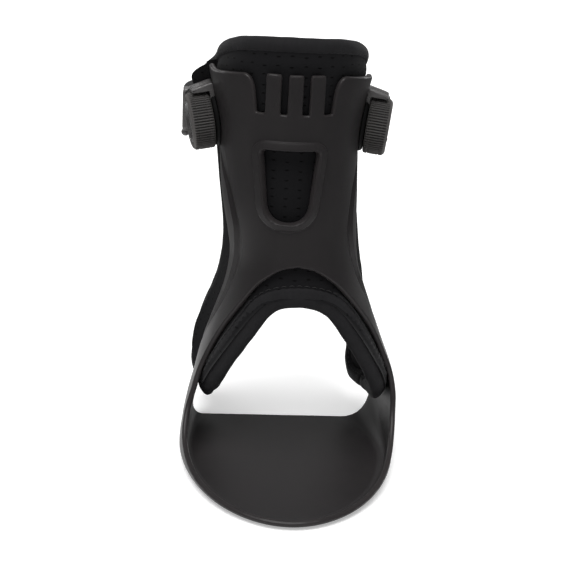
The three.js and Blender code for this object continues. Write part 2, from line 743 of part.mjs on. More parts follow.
// The strap's middle line, from one lace guide round the back of the leg to the other.
function strapPoint(turn) {
  const round = (value) => Math.sign(value) * Math.abs(value) ** strapRoundness;
  const x = strapAside + strapHalfSpan * round(Math.sin(turn));
  return new THREE.Vector3(x, strapStart + (strapBehind - strapStart) * round(Math.cos(turn)), strapMiddle);
}

function makeStrap() {
  const half = new THREE.Vector2(strapWidth / 2, strapThickness / 2);
  const corner = strapThickness * 0.3;
  const shape = rounded(half, corner);
  const path = range(-Math.PI / 2, Math.PI / 2, Math.PI / strapSteps).map(strapPoint);
  return sweep(path, shape, strapSteps, 1);
}

// The moulded end that holds a lace's loop: a slab as high as the strap, with a bead under it.
function makeGuide() {
  const half = new THREE.Vector2(strapThickness / 2, strapWidth / 2 + guideBrim);
  const extrusion = { depth: guideLength, curveSegments: 2, bevelEnabled: false };
  const slab = new THREE.ExtrudeGeometry(rounded(half, guideCorner), extrusion);
  slab.applyMatrix4(new THREE.Matrix4().set(1, 0, 0, 0, 0, 0, 1, -guideLength / 2, 0, 1, 0, 0, 0, 0, 0, 1));
  const bead = new THREE.SphereGeometry(guideBead, 8, 5).translate(0, 0, -strapWidth / 2 - guideBead * 0.8);
  return solid(slab).add(solid(bead));
}

const moulded = { color: 0x1b1b1c, roughness: 0.42, metalness: 0 };
const glossy = { color: 0x2a2a2c, roughness: 0.3, metalness: 0 };
const fabric = { color: 0x141415, roughness: 0.95, metalness: 0 };
const smooth = { color: 0x1c1c1d, roughness: 0.8, metalness: 0 };

function piece(name, manifoldSolid, look) {
  const mesh = new THREE.Mesh(geometryOf(manifoldSolid), new THREE.MeshStandardMaterial(look));
  mesh.name = name;
  return mesh;
}

const brace = new THREE.Group();
brace.position.y = soleOriginAhead;
brace.add(piece("shell", makeShell(), moulded));
brace.add(piece("liner", makeLiner(), fabric));
brace.add(piece("top_binding", makeBinding(1), smooth));
brace.add(piece("lower_binding", makeBinding(0), smooth));

for (const [name, side] of [["left", -1], ["right", 1]]) {
  const seat = dialSeat(side);
  const dial = new THREE.Group();
  dial.applyMatrix4(seat);
  dial.add(piece(`dial_base_${name}`, makeDialBase(seat), moulded));
  dial.add(piece(`lace_outlet_${name}`, makeLaceOutlet(seat), moulded));
  dial.add(piece(`dial_knob_${name}`, makeDialKnob(), moulded));
  dial.add(piece(`dial_cap_${name}`, makeDialCap(), glossy));
  brace.add(dial);

  const guide = strapPoint((side * Math.PI) / 2);
  guide.y -= guideLength / 2 + clearance;
  const guidePiece = piece(`lace_guide_${name}`, makeGuide(), moulded);
  guidePiece.position.copy(guide);
  brace.add(guidePiece);

  for (const row of laceRows) {
    const start = new THREE.Vector3(side * (outletWidth / 2 + laceGap), outletTop - row.down, row.out);
    start.applyMatrix4(seat);
    const end = guide.clone().add(new THREE.Vector3(0, -guideLength / 2 - laceGap, strapWidth * row.up));
    const bend = start.clone().lerp(end, 0.5).add(new THREE.Vector3(side * laceBow, 0, laceSag));
    const lace = sweep([start, bend, end], new THREE.Shape().absarc(0, 0, laceRadius, 0, Math.PI * 2), 6, 3);
    brace.add(piece(`lace_${name}_${row.name}`, lace, fabric));
  }
}
brace.add(piece("rear_strap", makeStrap(), fabric));

export default brace;
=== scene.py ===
import math

import bpy
import numpy as np
from mathutils import Matrix, Vector


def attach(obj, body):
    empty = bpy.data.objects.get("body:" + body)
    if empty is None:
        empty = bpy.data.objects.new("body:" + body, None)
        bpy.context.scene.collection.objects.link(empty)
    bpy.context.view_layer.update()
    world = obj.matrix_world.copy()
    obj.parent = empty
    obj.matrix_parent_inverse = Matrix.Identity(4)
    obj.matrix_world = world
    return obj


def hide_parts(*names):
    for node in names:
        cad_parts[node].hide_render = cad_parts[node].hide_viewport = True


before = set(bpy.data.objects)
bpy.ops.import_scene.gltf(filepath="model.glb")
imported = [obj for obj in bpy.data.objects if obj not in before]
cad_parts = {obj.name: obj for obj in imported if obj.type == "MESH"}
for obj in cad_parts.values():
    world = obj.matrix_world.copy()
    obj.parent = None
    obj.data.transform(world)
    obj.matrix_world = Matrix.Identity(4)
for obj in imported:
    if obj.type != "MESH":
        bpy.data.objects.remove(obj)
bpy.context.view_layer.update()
print("frame loaded")

# Lengths below are millimetres in the leg's own frame (leg axis at y = 0, toes towards -y), until place()
# turns them into metres in the part's frame.
mm = 0.001


# The camera stands a little to the brace's left and above it, and its picture leans to the right.
cameraSet = {
    "target": (0.0, 0.052, 0.082),
    "distance": 0.65,
    "azimuth": 4.0,
    "elevation": 20.0,
    "roll": 3.0,
    "lens": 73.1,
    "sensor": 36.0,
}


def makeCamera():
    azimuth, elevation = (math.radians(cameraSet[key]) for key in ("azimuth", "elevation"))
    view = Vector((
        math.sin(azimuth) * math.cos(elevation),
        math.cos(azimuth) * math.cos(elevation),
        -math.sin(elevation),
    ))
    data = bpy.data.cameras.new("camera")
    data.lens = cameraSet["lens"]
    data.sensor_width = cameraSet["sensor"]
    camera = bpy.data.objects.new("camera", data)
    bpy.context.scene.collection.objects.link(camera)
    turn = view.to_track_quat("-Z", "Y").to_matrix().to_4x4()
    seat = Matrix.Translation(Vector(cameraSet["target"]) - view * cameraSet["distance"])
    camera.matrix_world = seat @ turn @ Matrix.Rotation(math.radians(cameraSet["roll"]), 4, "Z")
    bpy.context.scene.camera = camera


makeCamera()


# Small tools for tables and curves.
def table(names, *rows):
    return dict(zip(names.split(), np.array(rows, float).T))


def smooth(low, high, at):
    share = np.clip((at - low) / (high - low), 0, 1)
    return share * share * (3 - 2 * share)


def mix(a, b, share):
    return a + (b - a) * share


# A table's column at some places, by a smooth curve through its rows.
def column(rows, key, at, by="height"):
    xs, ys = rows[by], rows[key]
    slopes = np.gradient(ys, xs)
    slopes[1:-1] = (ys[2:] - ys[:-2]) / (xs[2:] - xs[:-2])
    at = np.clip(at, xs[0], xs[-1])
    i = np.clip(np.searchsorted(xs, at, "right") - 1, 0, len(xs) - 2)
    step = xs[i + 1] - xs[i]
    t = (at - xs[i]) / step
    rise = 3 * t**2 - 2 * t**3
    ends = ys[i] * (1 - rise) + ys[i + 1] * rise
    return ends + step * (slopes[i] * (t**3 - 2 * t**2 + t) + slopes[i + 1] * (t**3 - t**2))


def bezier(points, count=12):
    t = np.linspace(0, 1, count + 1)[:, None]
    points = [np.array(p, float) for p in points]
    while len(points) > 1:
        points = [a * (1 - t) + b * t for a, b in zip(points, points[1:])]
    return points[0]


def unit(vectors):
    return vectors / np.maximum(np.linalg.norm(vectors, axis=-1, keepdims=True), 1e-12)


# The shell's sizes. In its tables height is a share of the shell's height.
shellSet = {
    "height": 206.0,
    "wall": 3.0,
    "shinHalf": 37.0,
    "shinReach": 47.5,
    "soleHalf": 57.5,
    "soleReach": 123.5,
    "shoulder": 5.0,
    "soleShoulder": 43.0,
    "tuck": 3.5,
    "sideways": 4.0,
    "originAhead": 52.0,
    "filletFront": 8.0,
    "filletOuter": 10.0,
    "filletInner": 20.0,
    "arch": 110.5,
    "rearReach": 13.0,
    "fluteDepth": 2.0,
    "fluteRamp": 4.5,
    "lipRamp": 2.6,
    "rim": 1.0,
    "spareHeight": 3.0,
    "columns": 250,
    "floorRows": 22,
    "filletRows": 9,
    "wallRows": 160,
    "straightBack": 10.0,
}
sectionRows = table(
    "height foot width reach square ahead tuck aside",
    (0.0, 1.0, 1.0, 0.98, 1.95, 1.0, 1.0, -0.1),
    (0.06, 1.0, 1.0, 0.985, 1.98, 1.0, 1.0, 0.1),
    (0.12, 0.98, 1.0, 0.97, 2.15, 0.96, 1.0, 0.5),
    (0.175, 0.92, 0.995, 0.93, 2.25, 0.85, 1.0, 0.9),
    (0.235, 0.8, 0.985, 0.91, 2.35, 0.7, 1.0, 1.0),
    (0.29, 0.6, 0.975, 0.92, 2.4, 0.52, 1.0, 1.0),
    (0.35, 0.38, 0.965, 0.945, 2.45, 0.34, 0.8, 1.0),
    (0.41, 0.2, 0.948, 0.98, 2.5, 0.16, 0.5, 0.9),
    (0.47, 0.08, 0.925, 1.0, 2.5, 0.04, 0.2, 0.6),
    (0.515, 0.03, 0.925, 1.003, 2.4, 0.0, 0.0, 0.4),
    (0.565, 0.0, 0.95, 1.015, 2.3, 0.0, 0.0, 0.1),
    (0.67, 0.0, 0.99, 1.0, 2.2, 0.0, 0.0, -0.5),
    (0.815, 0.0, 1.005, 1.0, 2.15, 0.0, 0.0, -0.92),
    (0.92, 0.0, 1.081, 1.0, 2.1, 0.0, 0.0, -1.05),
    (1.0, 0.0, 1.176, 1.01, 2.05, 0.0, 0.0, -1.0),
    (1.04, 0.0, 1.19, 1.01, 2.05, 0.0, 0.0, -0.8),
    (1.1, 0.0, 1.18, 1.0, 2.05, 0.0, 0.0, -0.55),
)
# The opening over the instep: degrees round the leg from the front, height as a share of the arch's.
openingRows = table(
    "angle height",
    (0, 1.0), (9, 0.982), (17, 0.938), (25, 0.878), (35.5, 0.765), (43.5, 0.665), (49, 0.56), (51.5, 0.452),
    (52.5, 0.362), (51.5, 0.272), (48, 0.2), (42.5, 0.142), (34, 0.095), (25, 0.064), (14, 0.044), (0, 0.038),
)
# The rear edge: behind is a share of rearReach.
rearRows = table(
    "height behind",
    (0.0, 0.19), (0.02, 0.22), (0.04, 0.34), (0.07, 0.6), (0.11, 0.9), (0.16, 1.03), (0.22, 1.0),
    (0.29, 0.85), (0.365, 0.6), (0.44, 0.4), (0.505, 0.32), (0.58, 0.32), (0.655, 0.4), (0.72, 0.56),
    (0.78, 0.76), (0.845, 0.84), (0.9, 0.7), (0.95, 0.42), (0.98, 0.2), (0.994, -0.05), (1.0, -0.4),
)
# The flute: its front crease and rear lip in degrees round the leg, and its depth as a share of fluteDepth.
fluteRows = table(
    "height angle lip depth",
    (0.19, 90, 99, 0.0), (0.29, 76, 88, 0.45), (0.36, 63, 77, 0.85), (0.43, 50.5, 65, 1.0),
    (0.48, 44, 58, 1.0),
    (0.52, 39.5, 53, 1.0), (0.56, 36, 49, 1.0), (0.605, 35.5, 47, 1.0), (0.655, 39.5, 50, 1.0),
    (0.705, 44.5, 57, 0.8), (0.74, 50, 68, 0.5), (0.8, 58, 84, 0.0),
)
# The shin panel's top: degrees round the leg, and how far it stands over the shell's height on each side.
crownRows = table(
    "angle left right",
    (0, 2.0, 2.0), (20, 2.0, 2.0), (28, 1.3, 1.3), (33, 0.7, 0.7), (45, -0.4, -0.4), (56, -1.4, -1.4),
    (65, -1.9, -2.1), (72, -1.7, -3.0), (76, -1.3, -3.8), (110, -1.3, -3.8),
)


def place(points):
    return (np.asarray(points, float) + (0, shellSet["originAhead"], 0)) * mm


def rearEdge(z):
    return shellSet["rearReach"] * column(rearRows, "behind", z / shellSet["height"])


# The shell's outside at some heights.
def sectionAt(z):
    at = z / shellSet["height"]
    rows = {key: column(sectionRows, key, at) for key in sectionRows if key != "height"}
    return {
        "half": mix(shellSet["shinHalf"], shellSet["soleHalf"], rows["foot"]) * rows["width"],
        "front": -mix(shellSet["shinReach"], shellSet["soleReach"], rows["foot"]) * rows["reach"],
        "widest": shellSet["shoulder"] - shellSet["soleShoulder"] * rows["ahead"],
        "square": rows["square"],
        "tuck": shellSet["tuck"] * rows["tuck"],
        "aside": shellSet["sideways"] * rows["aside"],
    }


def filletRadius(angle):
    side = np.where(angle < 0, shellSet["filletOuter"], shellSet["filletInner"])
    return mix(shellSet["filletFront"], side, smooth(45, 90, np.abs(angle)))


def floorInset(angle, z, inset):
    radius = filletRadius(angle) - inset
    below = radius - (z - np.maximum(inset, 0))
    return np.where(below > 0, radius - np.sqrt(np.maximum(radius**2 - below**2, 0)), 0)


def halfAt(s, y, draw):
    half = s["half"] - draw
    behind = half - s["tuck"] * ((y - s["widest"]) / shellSet["soleShoulder"]) ** 2
    ahead = np.clip((s["widest"] - y) / (s["widest"] - s["front"] - draw), 0, 1)
    return np.where(y >= s["widest"], behind, half * (1 - ahead ** s["square"]) ** (1 / s["square"]))


# Points of the wall, inset from the shell's outside. Past 90 degrees the wall runs straight back, a
# millimetre a degree.
def wallPoint(angle, z, inset, extra=None):
    angle, z, inset = np.broadcast_arrays(*(np.asarray(v, float) for v in (angle, z, inset)))
    s = sectionAt(z)
    turn = np.radians(np.minimum(np.abs(angle), 90))
    draw = inset + floorInset(angle, z, inset)
    slope = np.tan(np.minimum(turn, math.radians(89.99)))
    low = s["front"] + draw
    high = np.full(angle.shape, shellSet["shoulder"])
    for _ in range(34):
        y = (low + high) / 2
        outside = halfAt(s, y, draw) < (shellSet["shoulder"] - y) * slope
        low = np.where(outside, y, low)
        high = np.where(outside, high, y)
    y = np.where(np.abs(angle) < 90, high, shellSet["shoulder"] + np.abs(angle) - 90)
    add = 0 if extra is None else extra(angle, y, z)
    half = halfAt(s, y, draw) + np.sin(turn) * add
    return np.stack([s["aside"] + np.sign(angle) * half, y - np.cos(turn) * add, z], -1)


# How deep the side flutes are, between their creases and lips.
def relief(crease, lip, z):
    depth = shellSet["fluteDepth"] * column(fluteRows, "depth", z / shellSet["height"])
    behind = np.sin(math.pi / 2 * np.clip(crease / shellSet["fluteRamp"], 0, 1))
    return depth * behind * np.clip(-lip / shellSet["lipRamp"], 0, 1)


# The distance from points to a closed outline, negative inside it. The sides of the outline may be in space,
# and what is inside is then told from flat points.
def toOutline(points, outline, flatPoints=None, flatOutline=None):
    flatPoints = points if flatPoints is None else flatPoints
    flatOutline = outline if flatOutline is None else flatOutline
    ends = np.roll(outline, -1, 0)
    sides = ends - outline
    lengths = np.maximum((sides**2).sum(1), 1e-12)
    distance = np.empty(len(points))
    batch = 6000
    for start in range(0, len(points), batch):
        part = points[start:start + batch, None] - outline
        share = np.clip((part * sides).sum(2) / lengths, 0, 1)
        distance[start:start + batch] = np.sqrt(((part - share[..., None] * sides) ** 2).sum(2).min(1))
    (x0, y0), (x1, y1) = flatOutline.T, np.roll(flatOutline, -1, 0).T
    x, y = flatPoints[:, :1], flatPoints[:, 1:2]
    crosses = (y0 > y) != (y1 > y)
    rise = np.where(y1 == y0, 1e-12, y1 - y0)
    inside = (crosses & (x < (x1 - x0) * (y - y0) / rise + x0)).sum(1) % 2 == 1
    return np.where(inside, -distance, distance)


# Outlines cut through the shin panel, seen from the front.
crownSet = {
    "fingerHeight": 19.5,
    "fingerWidth": 7.35,
    "slotWidth": 3.3,
    "fingerRise": 2.0,
    "shoulderRise": 0.8,
    "fingerAside": -4.3,
    "gapWidth": 4.1,
    "gapFlare": 3.4,
    "corner": 0.6,
    "tipCorner": 1.0,
}
windowSet = {
    "drop": 35.3,
    "height": 37.0,
    "topHalf": 13.1,
    "waistHalf": 10.5,
    "corner": 2.2,
    "aside": -5.4,
    "band": 4.6,
    "rise": 2.4,
    "lean": 0.55,
    "bevel": 0.6,
}


def windowOutline():
    top = shellSet["height"] - windowSet["drop"]
    low = top - windowSet["height"]
    half, waist, corner = (windowSet[key] for key in ("topHalf", "waistHalf", "corner"))
    bend = low + waist * 0.9
    lift = low + waist * 0.3
    right = np.vstack([
        bezier([(0, low), (waist * 0.6, low), (waist * 0.95, lift), (waist, bend)]),
        bezier([(half, top - corner), (half, top), (half - corner, top)], 6),
    ])
    left = right[::-1][:-1] * (-1, 1)
    return np.vstack([right, left]) + (windowSet["aside"], 0)


def crownOutlines():
    top = shellSet["height"] + crownSet["fingerRise"]
    crest = shellSet["height"] + crownSet["shoulderRise"]
    low = top - crownSet["fingerHeight"]
    high = top * 1.2
    half = 1.5 * crownSet["fingerWidth"] + crownSet["slotWidth"]
    gap, flare, corner, tip = (crownSet[key] for key in ("gapWidth", "gapFlare", "corner", "tipCorner"))
    shoulder = (gap + flare * 0.3, low + crownSet["fingerHeight"] * 0.5)
    outlines = []
    for side in (-1, 1):
        points = np.vstack([
            bezier([(0, low + corner), (0, low), (corner, low)], 4),
            bezier([(gap - corner, low), (gap, low), (gap, low + corner)], 4),
            bezier([shoulder, (gap + flare * 0.75, crest), (gap + flare * 2, crest)], 14),
            [(gap + flare * 2, high), (-tip, high)],
            bezier([(-tip, top), (0, top), (0, top - tip)], 5),
        ])
        outlines.append(points * (side, 1) + (crownSet["fingerAside"] + side * half, 0))
    for side in (-1, 1):
        middle = crownSet["fingerAside"] + side * (crownSet["fingerWidth"] + crownSet["slotWidth"]) / 2
        w = crownSet["slotWidth"] / 2
        right = np.vstack([
            bezier([(w - corner, low), (w, low), (w, low + corner)], 4),
            bezier([(w, top - tip), (w, top), (w + tip, top)], 5),
            [(w + tip, high)],
        ])
        outlines.append(np.vstack([right, right[::-1] * (-1, 1)]) + (middle, 0))
    return outlines


# The opening's outline: degrees and heights.
def openingOutline():
    steps = np.arange(len(openingRows["angle"]))
    rows = {"step": steps, **openingRows}
    at = np.linspace(0, steps[-1], 76)
    angle = np.maximum(column(rows, "angle", at, "step"), 0)
    half = np.stack([angle, column(rows, "height", at, "step") * shellSet["arch"]], 1)
    return np.vstack([half, half[::-1][1:-1] * (-1, 1)])


# A net of faces whose points carry named values, which can be split along a level of one of them.
class Net:
    def __init__(self, faces, **values):
        self.faces = faces
        self.values = values

    def split(self, key, level, snap=0.02):
        value = self.values[key] - level
        value[np.abs(value) < snap] = 0
        side = np.sign(value).astype(int).tolist()
        exact = value.tolist()
        made, ends, shares, kept = {}, [], [], []
        for face in self.faces:
            signs = [side[i] for i in face]
            if min(signs) >= 0 or max(signs) <= 0:
                kept.append(face)
                continue
            high, low = [], []
            for a, b in zip(face, face[1:] + face[:1]):
                if side[a] >= 0:
                    high.append(a)
                if side[a] <= 0:
                    low.append(a)
                if side[a] * side[b] < 0:
                    edge = (min(a, b), max(a, b))
                    if edge not in made:
                        made[edge] = len(side) + len(ends)
                        ends.append(edge)
                        shares.append(exact[edge[0]] / (exact[edge[0]] - exact[edge[1]]))
                    high.append(made[edge])
                    low.append(made[edge])
            kept += [part for part in (high, low) if len(part) > 2]
        self.faces = kept
        if ends:
            ends, shares = np.array(ends), np.array(shares)
            for name, old in self.values.items():
                share = shares[:, None] if old.ndim > 1 else shares
                new = mix(old[ends[:, 0]], old[ends[:, 1]], share)
                self.values[name] = np.concatenate([old, new])
        self.values[key][len(side):] = level
        self.values[key][:len(side)][value == 0] = level

    # Drops the faces that lie below zero, and the points that no face uses.
    def trim(self, key):
        value = self.values[key].tolist()
        self.faces = [face for face in self.faces if sum(value[i] for i in face) > 1e-9]
        used = np.unique([i for face in self.faces for i in face])
        place = np.full(len(value), -1)
        place[used] = np.arange(len(used))
        place = place.tolist()
        self.faces = [[place[i] for i in face] for face in self.faces]
        self.values = {name: old[used] for name, old in self.values.items()}


def gridFaces(rows, columns, loop=False):
    across = columns if loop else columns - 1
    i, j = np.meshgrid(np.arange(rows - 1), np.arange(across), indexing="ij")
    a = i * columns + j
    b = i * columns + (j + 1) % columns
    return np.stack([a, b, b + columns, a + columns], -1).reshape(-1, 4).tolist()


# The faces of a tube of rings, closed at the ends that are named.
def tubeFaces(rows, columns, ends=(True, True)):
    faces = gridFaces(rows, columns, loop=True)
    if ends[0]:
        faces.append(list(range(columns))[::-1])
    if ends[1]:
        faces.append([(rows - 1) * columns + k for k in range(columns)])
    return faces


# A mesh whose shading follows its faces by their area, so that slivers don't show. Layers are named values
# of its points, for the materials.
def makeMesh(name, points, faces, material, layers=None, flat=False):
    mesh = bpy.data.meshes.new(name)
    mesh.from_pydata(np.asarray(points).tolist(), [], faces)
    mesh.validate()
    piece = bpy.data.objects.new(name, mesh)
    bpy.context.scene.collection.objects.link(piece)
    mesh.materials.append(material)
    if not flat:
        count = len(mesh.polygons)
        mesh.polygons.foreach_set("use_smooth", np.ones(count, bool))
        normals, areas = np.empty(count * 3), np.empty(count)
        totals, corners = np.empty(count, np.int32), np.empty(len(mesh.loops), np.int32)
        mesh.polygons.foreach_get("normal", normals)
        mesh.polygons.foreach_get("area", areas)
        mesh.polygons.foreach_get("loop_total", totals)
        mesh.loops.foreach_get("vertex_index", corners)
        weighted = np.repeat(normals.reshape(-1, 3) * areas[:, None], totals, 0)
        total = np.stack([np.bincount(corners, weighted[:, k], len(mesh.vertices)) for k in range(3)], 1)
        mesh.normals_split_custom_set_from_vertices(unit(total))
    for key, values in (layers or {}).items():
        layer = mesh.attributes.new(key, "FLOAT", "POINT")
        layer.data.foreach_set("value", np.asarray(values, np.float32))
    return piece


# One output of a shader node. Sums and products of these add Math nodes.
class Wire:
    def __init__(self, sheet, socket):
        self.sheet = sheet
        self.socket = socket

    def maths(self, operation, *values):
        return self.sheet.node("ShaderNodeMath", {"operation": operation}, dict(enumerate(values)))

    def __add__(self, other):
        return self.maths("ADD", self, other)

    def __radd__(self, other):
        return self.maths("ADD", other, self)

    def __sub__(self, other):
        return self.maths("SUBTRACT", self, other)

    def __rsub__(self, other):
        return self.maths("SUBTRACT", other, self)

    def __mul__(self, other):
        return self.maths("MULTIPLY", self, other)

    def __rmul__(self, other):
        return self.maths("MULTIPLY", other, self)

    def __truediv__(self, other):
        return self.maths("DIVIDE", self, other)

    def __rtruediv__(self, other):
        return self.maths("DIVIDE", other, self)

    def through(self, operation):
        return self.maths(operation, self)

    def ramp(self, low, high):
        settings = {"interpolation_type": "SMOOTHSTEP"}
        return self.sheet.node("ShaderNodeMapRange", settings, {0: self, 1: low, 2: high, 3: 0.0, 4: 1.0})


# A material and its nodes. Fixed values go straight to the shader's sockets.
class Sheet:
    def __init__(self, name, **fixed):
        self.material = bpy.data.materials.new(name)
        self.material.use_nodes = True
        self.tree = self.material.node_tree
        self.shader = self.tree.nodes["Principled BSDF"]
        for key, value in fixed.items():
            self.shader.inputs[key.replace("_", " ")].default_value = value

    def feed(self, socket, value):
        if isinstance(value, Wire):
            self.tree.links.new(value.socket, socket)
        else:
            socket.default_value = value

    def node(self, kind, settings=None, values=None, out=0):
        made = self.tree.nodes.new(kind)
        for key, value in (settings or {}).items():
            setattr(made, key, value)
        for key, value in (values or {}).items():
            self.feed(made.inputs[key], value)
        return Wire(self, made.outputs[out])

    def layer(self, name):
        return self.node("ShaderNodeAttribute", {"attribute_name": name}, out="Fac")

    def spot(self):
        return self.node("ShaderNodeTexCoord", out="Object")

    def stretch(self, vector, scale):
        return self.node("ShaderNodeVectorMath", {"operation": "MULTIPLY"}, {0: vector, 1: scale})

    def noise(self, vector, scale, detail=2.0, rough=0.5):
        values = {"Vector": vector, "Scale": scale, "Detail": detail, "Roughness": rough}
        return self.node("ShaderNodeTexNoise", {}, values)

    def tint(self, share, dark, light):
        settings = {"data_type": "RGBA"}
        return self.node("ShaderNodeMix", settings, {0: share, 6: dark, 7: light}, out=2)

    def bump(self, height, strength, depth):
        return self.node("ShaderNodeBump", {}, {"Strength": strength, "Distance": depth, "Height": height})

    def feel(self, **links):
        for key, value in links.items():
            self.feed(self.shader.inputs[key.replace("_", " ")], value)
        return self.material


# Satin moulded plastic: a fine spark-eroded grain, faint flow marks, and edges rubbed a little lighter.
mouldedLook = {
    "dark": (0.0105, 0.0097, 0.0103, 1),
    "light": (0.027, 0.0242, 0.0247, 1),
    "shine": 0.17,
    "rough": 0.32,
    "clouds": 26.0,
    "grain": 2600.0,
    "flow": (60.0, 60.0, 9.0),
    "rubbed": (0.1, 1.1),
    "specks": 700.0,
    "speckShare": (0.66, 0.8),
    "relief": 0.00006,
}


def mouldedPlastic():
    look = mouldedLook
    sheet = Sheet("moulded_plastic", IOR=1.46, Specular_IOR_Level=look["shine"])
    spot = sheet.spot()
    cloud = sheet.noise(spot, look["clouds"], 3.0)
    grain = sheet.noise(spot, look["grain"], 2.0, 0.6)
    flow = sheet.noise(sheet.stretch(spot, look["flow"]), 1.0, 3.0)
    rubbed = 1 - sheet.layer("edge").ramp(*look["rubbed"])
    specks = sheet.noise(spot, look["specks"], 2.0).ramp(*look["speckShare"])
    shade = cloud * 0.5 + flow * 0.3 + rubbed * 0.45 + specks * 0.12
    colour = sheet.tint(shade, look["dark"], look["light"])
    rough = look["rough"] + cloud * 0.08 + flow * 0.07 - rubbed * 0.1 + grain * 0.04
    relief = sheet.bump(grain + flow * 0.6, 0.35, look["relief"])
    return sheet.feel(Base_Color=colour, Roughness=rough, Normal=relief)


# The pad's cover: a dark knit over foam, pierced by small staggered holes, which are coloured nearly black as
# painted shade inside them.
knitLook = {
    "dark": (0.0045, 0.0045, 0.005, 1),
    "light": (0.0105, 0.0103, 0.0112, 1),
    "holeShade": (0.0006, 0.0006, 0.0006, 1),
    "shine": 0.08,
    "rough": 0.82,
    "holeRadius": 0.65,
    "holePitch": 9.0,
    "holeRow": 4.7,
    "courses": (2.2, 2.2, 1.0),
    "clouds": 38.0,
    "fuzz": 1900.0,
    "relief": 0.0003,
}


def perforatedKnit():
    look = knitLook
    radius, pitch, rowStep = (look[key] for key in ("holeRadius", "holePitch", "holeRow"))
    sheet = Sheet("perforated_knit", IOR=1.4, Specular_IOR_Level=look["shine"], Sheen_Weight=0.03,
                  Sheen_Roughness=0.5)
    u, v = sheet.layer("u"), sheet.layer("v")
    flat = sheet.node("ShaderNodeCombineXYZ", {}, {0: u, 1: v})
    row = v / rowStep
    turns = sheet.node("ShaderNodeMath", {"operation": "PINGPONG"}, {0: row + 0.5, 1: 1.0})
    across = u / pitch + turns.ramp(0.495, 0.505) * 0.5  # every other row is moved by half a pitch
    x = (across - (across + 0.5).through("FLOOR")) * pitch
    y = (row - (row + 0.5).through("FLOOR")) * rowStep
    away = (x * x + y * y).through("SQRT")
    hole = 1 - away.ramp(radius * 0.8, radius * 1.25)
    dimple = away.ramp(radius * 0.7, radius * 1.7)
    courses = sheet.noise(sheet.stretch(flat, look["courses"]), 1.0, 2.0)
    cloud = sheet.noise(sheet.spot(), look["clouds"], 4.0)
    fuzz = sheet.noise(sheet.spot(), look["fuzz"], 3.0, 0.7)
    shade = courses * 0.35 + cloud * 0.35 + fuzz * 0.3
    cover = sheet.tint(shade, look["dark"], look["light"])
    # Painted shade: the holes are coloured nearly black for their depth.
    colour = sheet.tint(hole, cover, look["holeShade"])
    relief = sheet.bump(fuzz * 0.2 + courses * 0.08 + dimple * 1.2, 0.5, look["relief"])
    return sheet.feel(Base_Color=colour, Roughness=look["rough"] + fuzz * 0.15, Normal=relief)


# The rolled edges' cover: a smooth stretch cloth with a fine rib.
stretchLook = {
    "dark": (0.0065, 0.0063, 0.007, 1),
    "light": (0.019, 0.0185, 0.02, 1),
    "shine": 0.18,
    "rough": 0.68,
    "rib": 0.55,
    "clouds": 45.0,
    "fuzz": 2300.0,
    "pull": (0.5, 0.12, 1.0),
    "relief": 0.00022,
}


def stretchCloth():
    look = stretchLook
    sheet = Sheet("stretch_cloth", IOR=1.4, Specular_IOR_Level=look["shine"], Sheen_Weight=0.06,
                  Sheen_Roughness=0.4)
    u, v = sheet.layer("u"), sheet.layer("v")
    flat = sheet.node("ShaderNodeCombineXYZ", {}, {0: u, 1: v})
    rib = (u * (2 * math.pi / look["rib"])).through("SINE")
    cloud = sheet.noise(sheet.spot(), look["clouds"], 4.0)
    fuzz = sheet.noise(sheet.spot(), look["fuzz"], 2.0, 0.7)
    pull = sheet.noise(sheet.stretch(flat, look["pull"]), 1.0, 3.0)
    shade = rib * 0.12 + cloud * 0.45 + pull * 0.3 + fuzz * 0.2
    colour = sheet.tint(shade, look["dark"], look["light"])
    relief = sheet.bump(fuzz * 0.4 + rib * 0.25 + pull * 0.8, 0.6, look["relief"])
    return sheet.feel(Base_Color=colour, Roughness=look["rough"] + fuzz * 0.2, Normal=relief)


# Semi-gloss plastic of the housings, the strap's ends and the dial faces. Its colours carry painted light:
# grey on the lace housings, the strap's ends and the dial faces for painted reflection, near black on the
# bases for painted shade.
glossLook = {"clouds": 90.0, "grain": 3200.0, "scuffs": (900.0, 160.0, 500.0), "relief": 0.00004}


def glossPlastic(name, dark, light, rough, shine):
    look = glossLook
    sheet = Sheet(name, IOR=1.5, Specular_IOR_Level=shine)
    spot = sheet.spot()
    cloud = sheet.noise(spot, look["clouds"], 3.0)
    grain = sheet.noise(spot, look["grain"], 2.0)
    scuff = sheet.noise(sheet.stretch(spot, look["scuffs"]), 1.0, 3.0).ramp(0.6, 0.75)
    colour = sheet.tint(cloud * 0.7 + scuff * 0.3, dark, light)
    relief = sheet.bump(grain + scuff * 0.3, 0.25, look["relief"])
    return sheet.feel(Base_Color=colour, Roughness=rough + cloud * 0.12 + scuff * 0.1, Normal=relief)


# The knobs' rubber: matt, with painted shade in its grooves and painted highlights on the ribs' crests and on
# the smooth front bevel.
rubberLook = {
    "dark": (0.006, 0.0058, 0.0057, 1),
    "light": (0.058, 0.054, 0.052, 1),
    "shine": 0.35,
    "rough": 0.52,
    "clouds": 120.0,
    "grain": 2400.0,
    "relief": 0.00006,
}


def ribbedRubber():
    look = rubberLook
    sheet = Sheet("ribbed_rubber", IOR=1.5, Specular_IOR_Level=look["shine"])
    spot = sheet.spot()
    cloud = sheet.noise(spot, look["clouds"], 4.0)
    grain = sheet.noise(spot, look["grain"], 3.0, 0.6)
    # On the knobs the edge layer carries painted light: low in the rib grooves for painted shade, high on the
    # crests and the front bevel for painted highlights.
    colour = sheet.tint(cloud * 0.4 + sheet.layer("edge") * 0.6, look["dark"], look["light"])
    relief = sheet.bump(grain, 0.4, look["relief"])
    return sheet.feel(Base_Color=colour, Roughness=look["rough"] + cloud * 0.16, Normal=relief)


